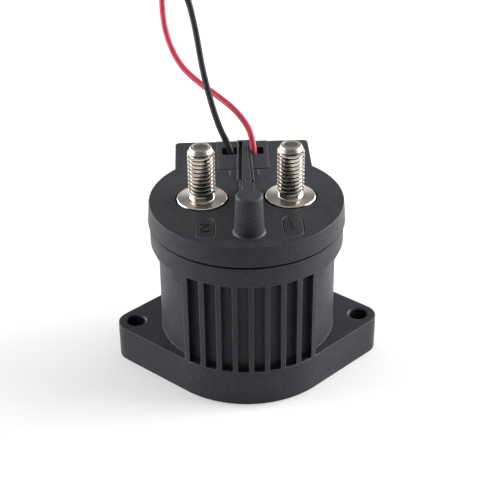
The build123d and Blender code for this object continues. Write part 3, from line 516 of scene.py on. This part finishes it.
class ContactorSizes(bpy.types.PropertyGroup):
    """Sizes and colours of the contactor's dressing."""

    case_colour: bpy.props.FloatVectorProperty(
        name="Case colour",
        description="Colour of the moulded case, cover and lead insert",
        default=(0.019, 0.0203, 0.0237),
        subtype="COLOR",
    )
    grain_strength: bpy.props.FloatProperty(
        name="Case grain",
        description="Strength of the moulded grain on the case",
        default=0.9,
        min=0,
        max=1,
    )
    edge_round: bpy.props.FloatProperty(
        name="Edge rounding",
        description="Radius of the rounding on the case's moulded edges",
        default=0.3 * MM,
        unit="LENGTH",
    )
    terminal_colour: bpy.props.FloatVectorProperty(
        name="Terminal colour",
        description="Colour of the plated terminals",
        default=(0.72, 0.665, 0.6),
        subtype="COLOR",
    )
    black_lead_colour: bpy.props.FloatVectorProperty(
        name="Black lead colour",
        description="Colour of the black lead's insulation",
        default=(0.011, 0.012, 0.0135),
        subtype="COLOR",
    )
    red_lead_colour: bpy.props.FloatVectorProperty(
        name="Red lead colour",
        description="Colour of the red lead's insulation",
        default=(0.52, 0.062, 0.105),
        subtype="COLOR",
    )
    thread_pitch: bpy.props.FloatProperty(
        name="Thread pitch",
        description="Rise of the terminals' thread for each turn",
        default=1.25 * MM,
        unit="LENGTH",
    )
    thread_r: bpy.props.FloatProperty(
        name="Thread radius",
        description="Outer radius of the terminals' thread",
        default=4.0 * MM,
        unit="LENGTH",
    )
    thread_root_r: bpy.props.FloatProperty(
        name="Thread root radius",
        description="Radius at the bottom of the thread's groove",
        default=3.25 * MM,
        unit="LENGTH",
    )
    number_height: bpy.props.FloatProperty(
        name="Number height",
        description="Height of the terminal numbers on the cover",
        default=4.0 * MM,
        unit="LENGTH",
    )
    number_rise: bpy.props.FloatProperty(
        name="Number rise",
        description="How far the terminal numbers stand above the cover",
        default=0.14 * MM,
        unit="LENGTH",
    )
    number_stroke: bpy.props.FloatProperty(
        name="Number stroke",
        description="Thickness of the terminal numbers' strokes",
        default=0.5 * MM,
        unit="LENGTH",
    )
    left_lamp: bpy.props.FloatProperty(
        name="Left lamp",
        description="Power of the softbox on the left",
        default=3.3,
        unit="POWER",
    )
    right_lamp: bpy.props.FloatProperty(
        name="Right lamp",
        description="Power of the softbox on the right",
        default=7.0,
        unit="POWER",
    )
    side_screen: bpy.props.FloatProperty(
        name="Side screens",
        description="Strength of the room's light low at both sides",
        default=14.0,
        min=0,
    )
    back_screen: bpy.props.FloatProperty(
        name="Back screen",
        description="Strength of the room's light low behind the part",
        default=1.2,
        min=0,
    )
    back_wall: bpy.props.FloatProperty(
        name="Back wall",
        description="Strength of the room's light behind the part, above the screen",
        default=0.25,
        min=0,
    )
    ceiling: bpy.props.FloatProperty(
        name="Ceiling",
        description="Strength of the room's light overhead",
        default=0.6,
        min=0,
    )
    room_strength: bpy.props.FloatProperty(
        name="Room light",
        description="Strength of the room's light everywhere else",
        default=0.05,
        min=0,
    )


# Terminals with a real thread


def radius_limit(sizes, z, neck_top, stud_top):
    """The stud's outline, which the thread may not pass: neck cone below, end chamfer above."""
    low_cone = NECK_R + max(z - neck_top, 0)
    high_cone = END_R + max(stud_top - z, 0) * (sizes.thread_r - END_R) / END_H
    return min(low_cone, high_cone, sizes.thread_r)


def thread_sleeve(sizes, start_z, neck_top, stud_top):
    """The thread as an open tube: one turn's profile, carried round and up by a screw."""
    pitch = sizes.thread_pitch
    crest, root = sizes.thread_r, sizes.thread_root_r
    # Radius and share of the pitch at each corner of one ridge
    corners = ((root, 0.0), (crest, 0.36), (crest, 0.5), (root, 0.86), (root, 1.0))
    piece = draw_profile([(radius, 0, start_z + share * pitch) for radius, share in corners])
    apply_modifier(
        piece,
        "SCREW",
        angle=2 * pi,
        screw_offset=pitch,
        iterations=THREAD_TURNS,
        steps=THREAD_STEPS,
        render_steps=THREAD_STEPS,
    )
    make_active(piece)
    bpy.ops.object.mode_set(mode="EDIT")
    bpy.ops.mesh.select_all(action="SELECT")
    bpy.ops.mesh.remove_doubles(threshold=WELD)
    bpy.ops.object.mode_set(mode="OBJECT")
    for vertex in piece.data.vertices:
        flat = Vector((vertex.co.x, vertex.co.y))
        limit = radius_limit(sizes, vertex.co.z, neck_top, stud_top)
        if flat.length > limit:
            flat *= limit / flat.length
        vertex.co.x = flat.x
        vertex.co.y = flat.y
    return piece


def rim_vertices(piece, upper):
    """The open rim of a tube: the vertices of its border edges in the upper or the lower half."""
    uses = {}
    for polygon in piece.data.polygons:
        for key in polygon.edge_keys:
            uses[key] = uses.get(key, 0) + 1
    border = {index for key, count in uses.items() if count == 1 for index in key}
    heights = [vertex.co.z for vertex in piece.data.vertices]
    middle = (min(heights) + max(heights)) / 2
    return {index for index in border if (piece.data.vertices[index].co.z > middle) == upper}


def close_thread(piece, upper, rings):
    """Carries the thread's slanting rim to a level ring, on through the others, and caps it."""
    make_active(piece)
    rim = rim_vertices(piece, upper)
    for vertex in piece.data.vertices:
        vertex.select = vertex.index in rim
    for edge in piece.data.edges:
        edge.select = all(index in rim for index in edge.vertices)
    for polygon in piece.data.polygons:
        polygon.select = False
    bpy.ops.object.mode_set(mode="EDIT")
    bpy.ops.mesh.select_mode(type="EDGE")
    bpy.ops.mesh.extrude_region_move()
    bpy.ops.object.mode_set(mode="OBJECT")
    radius, height = rings[0]
    for vertex in piece.data.vertices:
        if vertex.select:
            flat = Vector((vertex.co.x, vertex.co.y)).normalized() * radius
            vertex.co = (flat.x, flat.y, height)
    bpy.ops.object.mode_set(mode="EDIT")
    bpy.ops.mesh.remove_doubles(threshold=WELD)
    bpy.ops.mesh.select_mode(type="VERT")
    for before, after in zip(rings, rings[1:]):
        grow_ring(before, after)
    bpy.ops.mesh.edge_face_add()


def make_terminal(sizes, node, material):
    """A terminal about its own axis, grown from both ends of the thread, then set in its place."""
    low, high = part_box(node)
    stud_top = high.z
    drum_low = low.z + SHANK_H
    drum_top = drum_low + DRUM_H
    neck_top = drum_top + NECK_H
    thread_start = neck_top - THREAD_LEAD_IN
    # Rings as radius and height, away from the thread: chamfer, rim and dished face
    upper_end = (
        (END_R + 0.35 * MM, stud_top - 0.3 * MM),
        (END_R + 0.15 * MM, stud_top - 0.07 * MM),
        (END_R, stud_top),
        (DISH_R, stud_top),
        (DISH_R - 0.2 * MM, stud_top - 0.18 * MM),
        (DISH_R - 0.8 * MM, stud_top - DISH_DEPTH),
    )
    # Neck, fillet, drum flange and shank
    lower_end = (
        (NECK_R, thread_start - 0.05 * MM),
        (NECK_R, drum_top + 0.25 * MM),
        (NECK_R + 0.08 * MM, drum_top + 0.08 * MM),
        (NECK_R + 0.25 * MM, drum_top),
        (DRUM_R - DRUM_BEVEL - 0.06 * MM, drum_top),
        (DRUM_R - DRUM_BEVEL + 0.08 * MM, drum_top - 0.06 * MM),
        (DRUM_R - 0.06 * MM, drum_top - DRUM_BEVEL + 0.08 * MM),
        (DRUM_R, drum_top - DRUM_BEVEL - 0.06 * MM),
        (DRUM_R, drum_low + 0.1 * MM),
        (DRUM_R - 0.1 * MM, drum_low),
        (SHANK_R, drum_low),
        (SHANK_R, low.z),
    )
    piece = thread_sleeve(sizes, thread_start, neck_top, stud_top)
    close_thread(piece, True, upper_end)
    close_thread(piece, False, lower_end)
    bpy.ops.mesh.select_all(action="SELECT")
    bpy.ops.mesh.remove_doubles(threshold=WELD)
    bpy.ops.mesh.normals_make_consistent(inside=False)
    bpy.ops.object.mode_set(mode="OBJECT")
    piece.location = ((low.x + high.x) / 2, (low.y + high.y) / 2, 0)
    finish_piece(piece, node + "_threaded", "housing", material, 40)
    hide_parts(node)


# Leads, in millimetres: the route's points from the solids, then each coil's turns by a loop

BLACK_ROUTE = [
    (-2.6, 29.3, 46.0),
    (-2.6, 29.3, 51.9),
    (-4.8, 30.5, 57.1),
    (-7.4, 34.6, 61.5),
    (-9.9, 42.0, 67.9),
    (-12.0, 49.5, 75.1),
    (-13.4, 57.5, 82.9),
    (-15.5, 66.8, 90.2),
    (-19.8, 77.5, 97.3),
    (-19.7, 91.9, 92.7),
    (-15.5, 98.6, 78.9),
    (-13.8, 103.0, 65.0),
    (-11.9, 106.0, 51.2),
    (-9.5, 108.0, 38.2),
    (-6.5, 109.5, 25.5),
    (-1.5, 110.1, 15.5),
    (-2.3, 108.2, 7.9),
    (-3.7, 102.3, 2.9),
    (-3.7, 94.9, 1.05),
]
RED_ROUTE = [
    (3.7, 29.4, 46.0),
    (3.7, 29.4, 51.4),
    (3.4, 31.6, 56.8),
    (2.3, 34.6, 60.3),
    (-1.6, 40.1, 63.8),
    (-6.9, 46.0, 66.0),
    (-13.6, 52.4, 68.6),
    (-19.0, 57.6, 72.1),
    (-22.6, 63.0, 77.9),
    (-24.4, 68.1, 84.6),
    (-24.4, 75.8, 93.7),
    (-24.4, 83.0, 98.5),
    (-24.6, 91.1, 99.4),
    (-25.0, 98.3, 95.9),
    (-25.8, 106.1, 83.3),
    (-25.7, 109.5, 70.1),
    (-23.8, 111.2, 58.1),
    (-19.6, 112.6, 48.4),
    (-13.5, 114.1, 41.4),
    (-6.0, 115.8, 34.7),
    (0.9, 117.0, 27.9),
    (6.0, 116.8, 19.9),
    (7.2, 114.6, 13.7),
    (7.6, 109.4, 7.7),
    (7.9, 99.0, 2.5),
    (7.9, 91.6, 1.05),
]
# Colour, route, the coil's centre, the side on which the lead meets it, and the length in metres
LEADS = (
    ("black", BLACK_ROUTE, (-15.5, 86.5), 1, 0.319),
    ("red", RED_ROUTE, (19.7, 83.0), -1, 0.3515),
)
LEAD_R = 1.0
COIL_R = 11.8
COIL_PITCH = 2.15
COIL_TURNS = 2
COIL_POINTS = 12
COIL_Z = 1.05
COIL_END_R = COIL_R - COIL_PITCH * COIL_TURNS


def coil_points(centre, side):
    """Control points of a flat spiral that winds inwards from the tangent point on one side."""
    step = 2 * pi / COIL_POINTS
    points = []
    for index in range(COIL_TURNS * COIL_POINTS):
        turned = (index + 0.5) * step
        radius = (COIL_R - COIL_PITCH * turned / (2 * pi)) / cos(step / 2)
        points.append(
            (
                centre[0] + side * radius * cos(turned),
                centre[1] - radius * sin(turned),
                COIL_Z,
            )
        )
    points.append((centre[0] + side * COIL_END_R, centre[1], COIL_Z))
    return points


def make_lead(name, points, material):
    curve = bpy.data.curves.new(name, "CURVE")
    curve.dimensions = "3D"
    curve.bevel_depth = LEAD_R * MM
    curve.bevel_resolution = 6
    curve.resolution_u = 10
    curve.use_fill_caps = True
    spline = curve.splines.new("NURBS")
    spline.points.add(len(points) - 1)
    for point, place in zip(spline.points, points):
        point.co = (*[value * MM for value in place], 1)
    spline.order_u = 3
    spline.use_endpoint_u = True
    piece = bpy.data.objects.new(name, curve)
    bpy.context.collection.objects.link(piece)
    curve.materials.append(material)
    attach(piece, "housing")
    return piece


# The stripped ends, in millimetres and degrees
STRAND_R = 0.15
STRAND_SIDES = 8
STRAND_COUNT = 6
STRAND_L = 7.0
STRAND_STEPS = 14
STRAND_TWIST = 24.0
STRIP_TURN = 35.0


def make_strands(name, centre, side, material):
    """The stripped end of a lead: a core strand and six round it, twisted together."""
    deselect_all()
    bpy.ops.mesh.primitive_circle_add(
        vertices=STRAND_SIDES,
        radius=STRAND_R * MM,
        fill_type="NGON",
    )
    piece = bpy.context.object
    bpy.ops.object.mode_set(mode="EDIT")
    bpy.ops.mesh.select_all(action="SELECT")
    for index in range(STRAND_COUNT):
        angle = 2 * pi * index / STRAND_COUNT
        offset = Vector((cos(angle), sin(angle), 0)) * 2 * STRAND_R * MM
        bpy.ops.mesh.duplicate_move(TRANSFORM_OT_translate={"value": offset})
        bpy.ops.mesh.select_all(action="DESELECT")
        bpy.ops.object.mode_set(mode="OBJECT")
        for vertex in piece.data.vertices[:STRAND_SIDES]:
            vertex.select = True
        bpy.ops.object.mode_set(mode="EDIT")
    bpy.ops.mesh.select_all(action="SELECT")
    step = STRAND_L * MM / STRAND_STEPS
    for index in range(STRAND_STEPS):
        bpy.ops.mesh.extrude_region_move(TRANSFORM_OT_translate={"value": (0, 0, step)})
        bpy.ops.transform.rotate(
            value=radians(STRAND_TWIST),
            orient_axis="Z",
            center_override=(0, 0, 0),
        )
    bpy.ops.mesh.select_all(action="SELECT")
    bpy.ops.mesh.normals_make_consistent(inside=False)
    bpy.ops.object.mode_set(mode="OBJECT")
    way = Vector((-side * sin(radians(STRIP_TURN)), -cos(radians(STRIP_TURN)), 0))
    start = Vector((centre[0] + side * COIL_END_R, centre[1], COIL_Z)) * MM
    turn = way.to_track_quat("Z", "Y").to_matrix().to_4x4()
    piece.matrix_world = Matrix.Translation(start) @ turn
    finish_piece(piece, name, "housing", material)
    return piece


# Springs, as smoothed copies of their solids

# Vertices along a spring wire's seam that are closer than this are one
SPRING_WELD = 0.002 * MM


def make_spring(node, material):
    """A welded, smoothed copy of a spring, which takes the place of its node."""
    make_active(frame["nodes"][node])
    bpy.ops.object.duplicate()
    piece = bpy.context.object
    bpy.ops.object.parent_clear(type="CLEAR_KEEP_TRANSFORM")
    # The copy drops the node's own marks, so that it isn't taken for the node
    for key in list(piece.keys()):
        del piece[key]
    bpy.ops.object.mode_set(mode="EDIT")
    bpy.ops.mesh.select_all(action="SELECT")
    bpy.ops.mesh.remove_doubles(threshold=SPRING_WELD)
    bpy.ops.object.mode_set(mode="OBJECT")
    bpy.ops.object.shade_smooth_by_angle(angle=radians(40))
    piece.name = node + "_wire"
    piece.data.name = piece.name
    piece.data.materials.clear()
    piece.data.materials.append(material)
    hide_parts(node)
    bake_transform(piece)


# Numbers beside the terminals

# Each digit as one thin stroke, in shares of its height, upright
STROKES = {
    "1": [(-0.2, 0.22), (0.1, 0.5), (0.1, -0.5)],
    "2": [
        (-0.31, 0.3),
        (-0.24, 0.44),
        (-0.02, 0.5),
        (0.22, 0.44),
        (0.3, 0.26),
        (0.24, 0.1),
        (-0.31, -0.5),
        (0.31, -0.5),
    ],
}


def make_number(sizes, digit, side, material):
    """A digit drawn as a thin rounded ridge in its sunk frame, read from the rear."""
    curve = bpy.data.curves.new("number_" + digit, "CURVE")
    curve.dimensions = "3D"
    curve.bevel_depth = sizes.number_stroke / 2
    curve.bevel_resolution = 3
    curve.use_fill_caps = True
    spline = curve.splines.new("POLY")
    spline.points.add(len(STROKES[digit]) - 1)
    for point, (across, up) in zip(spline.points, STROKES[digit]):
        point.co = (across * sizes.number_height, up * sizes.number_height, 0, 1)
    piece = bpy.data.objects.new("number_" + digit, curve)
    bpy.context.collection.objects.link(piece)
    make_active(piece)
    bpy.ops.object.convert(target="MESH")
    piece = bpy.context.object
    height = COVER_TOP + sizes.number_rise - sizes.number_stroke / 2
    piece.location = (side * BADGE_X, BADGE_Y, height)
    piece.rotation_euler = (0, 0, pi)
    finish_piece(piece, "number_" + digit, "housing", material)


# Operators, one for each group of pieces


made_finishes = {}


def finishes():
    """The materials, made once and then found by their slot."""
    if not made_finishes:
        made_finishes.update(make_finishes(bpy.context.scene.contactor))
    return made_finishes


class CONTACTOR_OT_finish_nodes(bpy.types.Operator):
    """Give every carried-over solid the material of its slot"""

    bl_idname = "contactor.finish_nodes"
    bl_label = "Finish the solids"

    def execute(self, context):
        slots = {part["node"]: part["material_slot"] for part in frame["record"]["subparts"]}
        for name, node in frame["nodes"].items():
            node.data.materials.clear()
            node.data.materials.append(finishes()[slots[name]])
        return {"FINISHED"}


class CONTACTOR_OT_add_terminals(bpy.types.Operator):
    """Model both terminals with their screw thread"""

    bl_idname = "contactor.add_terminals"
    bl_label = "Add terminals"

    def execute(self, context):
        for node in ("terminal_stud_left", "terminal_stud_right"):
            make_terminal(context.scene.contactor, node, finishes()["plated_terminal"])
        return {"FINISHED"}


class CONTACTOR_OT_add_leads(bpy.types.Operator):
    """Lay both leads along their routes, with their coils and stripped ends"""

    bl_idname = "contactor.add_leads"
    bl_label = "Add leads"

    def execute(self, context):
        tinned = finishes()["tinned_metal"]
        for colour, route, centre, side, length in LEADS:
            slot_name = colour + "_insulation"
            lead = make_lead(
                colour + "_lead_tube",
                route + coil_points(centre, side),
                finishes()[slot_name],
            )
            strands = make_strands(colour + "_lead_strands", centre, side, tinned)
            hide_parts(colour + "_lead", colour + "_lead_coil")
            # One node holds both stripped ends, so it is replaced once
            if colour == "black":
                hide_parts("lead_ends")
        return {"FINISHED"}


class CONTACTOR_OT_add_springs(bpy.types.Operator):
    """Replace both springs with welded, smoothed copies"""

    bl_idname = "contactor.add_springs"
    bl_label = "Add springs"

    def execute(self, context):
        for node, far_body in (("return_spring", "housing"), ("contact_spring", "bridge")):
            make_spring(node, finishes()["spring_steel"])
        return {"FINISHED"}


class CONTACTOR_OT_add_numbers(bpy.types.Operator):
    """Raise the terminal numbers on the cover"""

    bl_idname = "contactor.add_numbers"
    bl_label = "Add numbers"

    def execute(self, context):
        sizes = context.scene.contactor
        make_number(sizes, "2", -1, finishes()["case_plastic"])
        make_number(sizes, "1", 1, finishes()["case_plastic"])
        return {"FINISHED"}


# Floor, lights and camera

FLOOR_SIZE = 40.0
FLOOR_DROP = 0.02 * MM
FLOOR_GLOW = 0.15
SOFTBOX_OUT = 0.7
SOFTBOX_Y = 0.1
SOFTBOX_Z = 0.35
SOFTBOX_SIZE = 0.6
SOFTBOX_TARGET = (0, 0, 0.04)

# Where the room's parts begin and where they are full, as the lean of a direction along an axis
SIDE_X = (0.5, 0.75)
SIDE_Y = (-0.35, 0.0)
BACK_Y = (0.2, 0.6)
RAISED_Z = (0.2, 0.4)
OVERHEAD_Z = (0.6, 0.85)

# Solved from the circles of the cover, the flange and the studs, in degrees and millimetres
CAMERA_AZIMUTH = 2.347
CAMERA_ELEVATION = 31.349
CAMERA_ROLL = -0.42
CAMERA_PLACE = (-12.058, -317.173, 229.521)
CAMERA_LENS = 88.77
CAMERA_SENSOR = 36.0


def add_floor():
    """A plain pale floor that shows white to the camera and keeps a soft shadow."""
    deselect_all()
    bpy.ops.mesh.primitive_plane_add(size=FLOOR_SIZE, location=(0, 0, -FLOOR_DROP))
    floor = bpy.context.object
    floor.name = "floor"
    finish = Finish("pale_floor", (0.82, 0.82, 0.82), 0.9)
    finish.uneven_gloss(0.85, 0.95, 40 * MM)
    rays = finish.node("ShaderNodeLightPath").outputs
    mirrored = finish.calculate("MAXIMUM", rays["Is Camera Ray"], rays["Is Glossy Ray"])
    seen = finish.calculate("MAXIMUM", mirrored, rays["Is Transmission Ray"])
    glow = finish.node("ShaderNodeEmission", Color=(1, 1, 1, 1), Strength=FLOOR_GLOW)
    add = finish.node("ShaderNodeAddShader")
    mix = finish.node("ShaderNodeMixShader")
    finish.link(finish.shader, "BSDF", add, 0)
    finish.link(glow, "Emission", add, 1)
    finish.tree.links.new(seen, mix.inputs["Fac"])
    finish.link(finish.shader, "BSDF", mix, 1)
    finish.link(add, "Shader", mix, 2)
    finish.link(mix, "Shader", finish.tree.nodes["Material Output"], "Surface")
    floor.data.materials.append(finish.material)


def add_softbox(name, side, power):
    """A square lamp at one side, -1 for the left or 1 for the right, that faces the part."""
    lamp_data = bpy.data.lights.new(name, "AREA")
    lamp_data.shape = "RECTANGLE"
    lamp_data.size = lamp_data.size_y = SOFTBOX_SIZE
    lamp_data.energy = power
    lamp = bpy.data.objects.new(name, lamp_data)
    bpy.context.collection.objects.link(lamp)
    lamp.location = (side * SOFTBOX_OUT, SOFTBOX_Y, SOFTBOX_Z)
    way = Vector(SOFTBOX_TARGET) - lamp.location
    lamp.rotation_euler = way.to_track_quat("-Z", "Y").to_euler()


class Room:
    """The world's light, as strengths that blend by the way a direction leans."""

    def __init__(self, name):
        self.world = bpy.data.worlds.new(name)
        self.world.use_nodes = True
        self.tree = self.world.node_tree
        where = self.tree.nodes.new("ShaderNodeTexCoord")
        self.lean = self.tree.nodes.new("ShaderNodeSeparateXYZ")
        self.tree.links.new(where.outputs["Generated"], self.lean.inputs["Vector"])

    def towards(self, axis, start, full):
        """0 for a direction that leans up to start along an axis, and 1 from full on."""
        share = self.tree.nodes.new("ShaderNodeMapRange")
        share.inputs["From Min"].default_value = start
        share.inputs["From Max"].default_value = full
        self.tree.links.new(self.lean.outputs[axis], share.inputs["Value"])
        return share.outputs["Result"]

    def blend(self, share, none, full):
        """Goes from one strength to another by a share; each may be a number or a socket."""
        mix = self.tree.nodes.new("ShaderNodeMapRange")
        self.tree.links.new(share, mix.inputs["Value"])
        for entry, value in (("To Min", none), ("To Max", full)):
            if isinstance(value, float):
                mix.inputs[entry].default_value = value
            else:
                self.tree.links.new(value, mix.inputs[entry])
        return mix.outputs["Result"]


def add_room(sizes):
    """A dim room with pale screens low at both sides and behind, the same for every ray."""
    room = Room("studio_room")
    dim = sizes.room_strength
    right = room.towards("X", *SIDE_X)
    left = room.towards("X", *[-lean for lean in SIDE_X])
    screen = room.blend(room.towards("Y", *SIDE_Y), dim, sizes.side_screen)
    back = room.towards("Y", *BACK_Y)
    low = room.blend(back, dim, sizes.back_screen)
    low = room.blend(left, low, screen)
    low = room.blend(right, low, screen)
    raised = room.blend(back, dim, sizes.back_wall)
    strength = room.blend(room.towards("Z", *RAISED_Z), low, raised)
    strength = room.blend(room.towards("Z", *OVERHEAD_Z), strength, sizes.ceiling)
    background = room.tree.nodes["Background"]
    background.inputs["Color"].default_value = (1, 1, 1, 1)
    room.tree.links.new(strength, background.inputs["Strength"])
    bpy.context.scene.world = room.world


def add_camera():
    """A camera at the photograph's place and angle."""
    camera_data = bpy.data.cameras.new("photo_camera")
    camera_data.lens = CAMERA_LENS
    camera_data.sensor_width = CAMERA_SENSOR
    camera_data.clip_start = 10 * MM
    camera = bpy.data.objects.new("photo_camera", camera_data)
    bpy.context.collection.objects.link(camera)
    turn = Matrix.Rotation(radians(-CAMERA_AZIMUTH), 4, "Z")
    tilt = Matrix.Rotation(radians(90 - CAMERA_ELEVATION), 4, "X")
    roll = Matrix.Rotation(radians(CAMERA_ROLL), 4, "Z")
    place = Matrix.Translation(Vector(CAMERA_PLACE) * MM)
    camera.matrix_world = place @ turn @ tilt @ roll
    bpy.context.scene.camera = camera


class CONTACTOR_OT_add_stage(bpy.types.Operator):
    """Set up the floor, the studio light and the camera"""

    bl_idname = "contactor.add_stage"
    bl_label = "Add stage"

    def execute(self, context):
        sizes = context.scene.contactor
        add_floor()
        add_room(sizes)
        add_softbox("left_softbox", -1, sizes.left_lamp)
        add_softbox("right_softbox", 1, sizes.right_lamp)
        add_camera()
        context.scene.view_settings.view_transform = "Standard"
        return {"FINISHED"}


class CONTACTOR_PT_panel(bpy.types.Panel):
    """Lists the steps that dress the contactor"""

    bl_label = "Contactor"
    bl_idname = "CONTACTOR_PT_panel"
    bl_space_type = "VIEW_3D"
    bl_region_type = "UI"
    bl_category = "Contactor"

    def draw(self, context):
        sizes = context.scene.contactor
        for name in sizes.__annotations__:
            self.layout.prop(sizes, name)
        for operator in OPERATORS:
            self.layout.operator(operator.bl_idname)


OPERATORS = (
    CONTACTOR_OT_finish_nodes,
    CONTACTOR_OT_add_terminals,
    CONTACTOR_OT_add_leads,
    CONTACTOR_OT_add_springs,
    CONTACTOR_OT_add_numbers,
    CONTACTOR_OT_add_stage,
)
CLASSES = (ContactorSizes, *OPERATORS, CONTACTOR_PT_panel)


def register():
    for cls in CLASSES:
        bpy.utils.register_class(cls)
    bpy.types.Scene.contactor = bpy.props.PointerProperty(type=ContactorSizes)


def unregister():
    del bpy.types.Scene.contactor
    for cls in reversed(CLASSES):
        bpy.utils.unregister_class(cls)


def main():
    register()
    bpy.ops.contactor.finish_nodes()
    bpy.ops.contactor.add_terminals()
    bpy.ops.contactor.add_leads()
    bpy.ops.contactor.add_springs()
    bpy.ops.contactor.add_numbers()
    bpy.ops.contactor.add_stage()


if __name__ == "__main__":
    main()
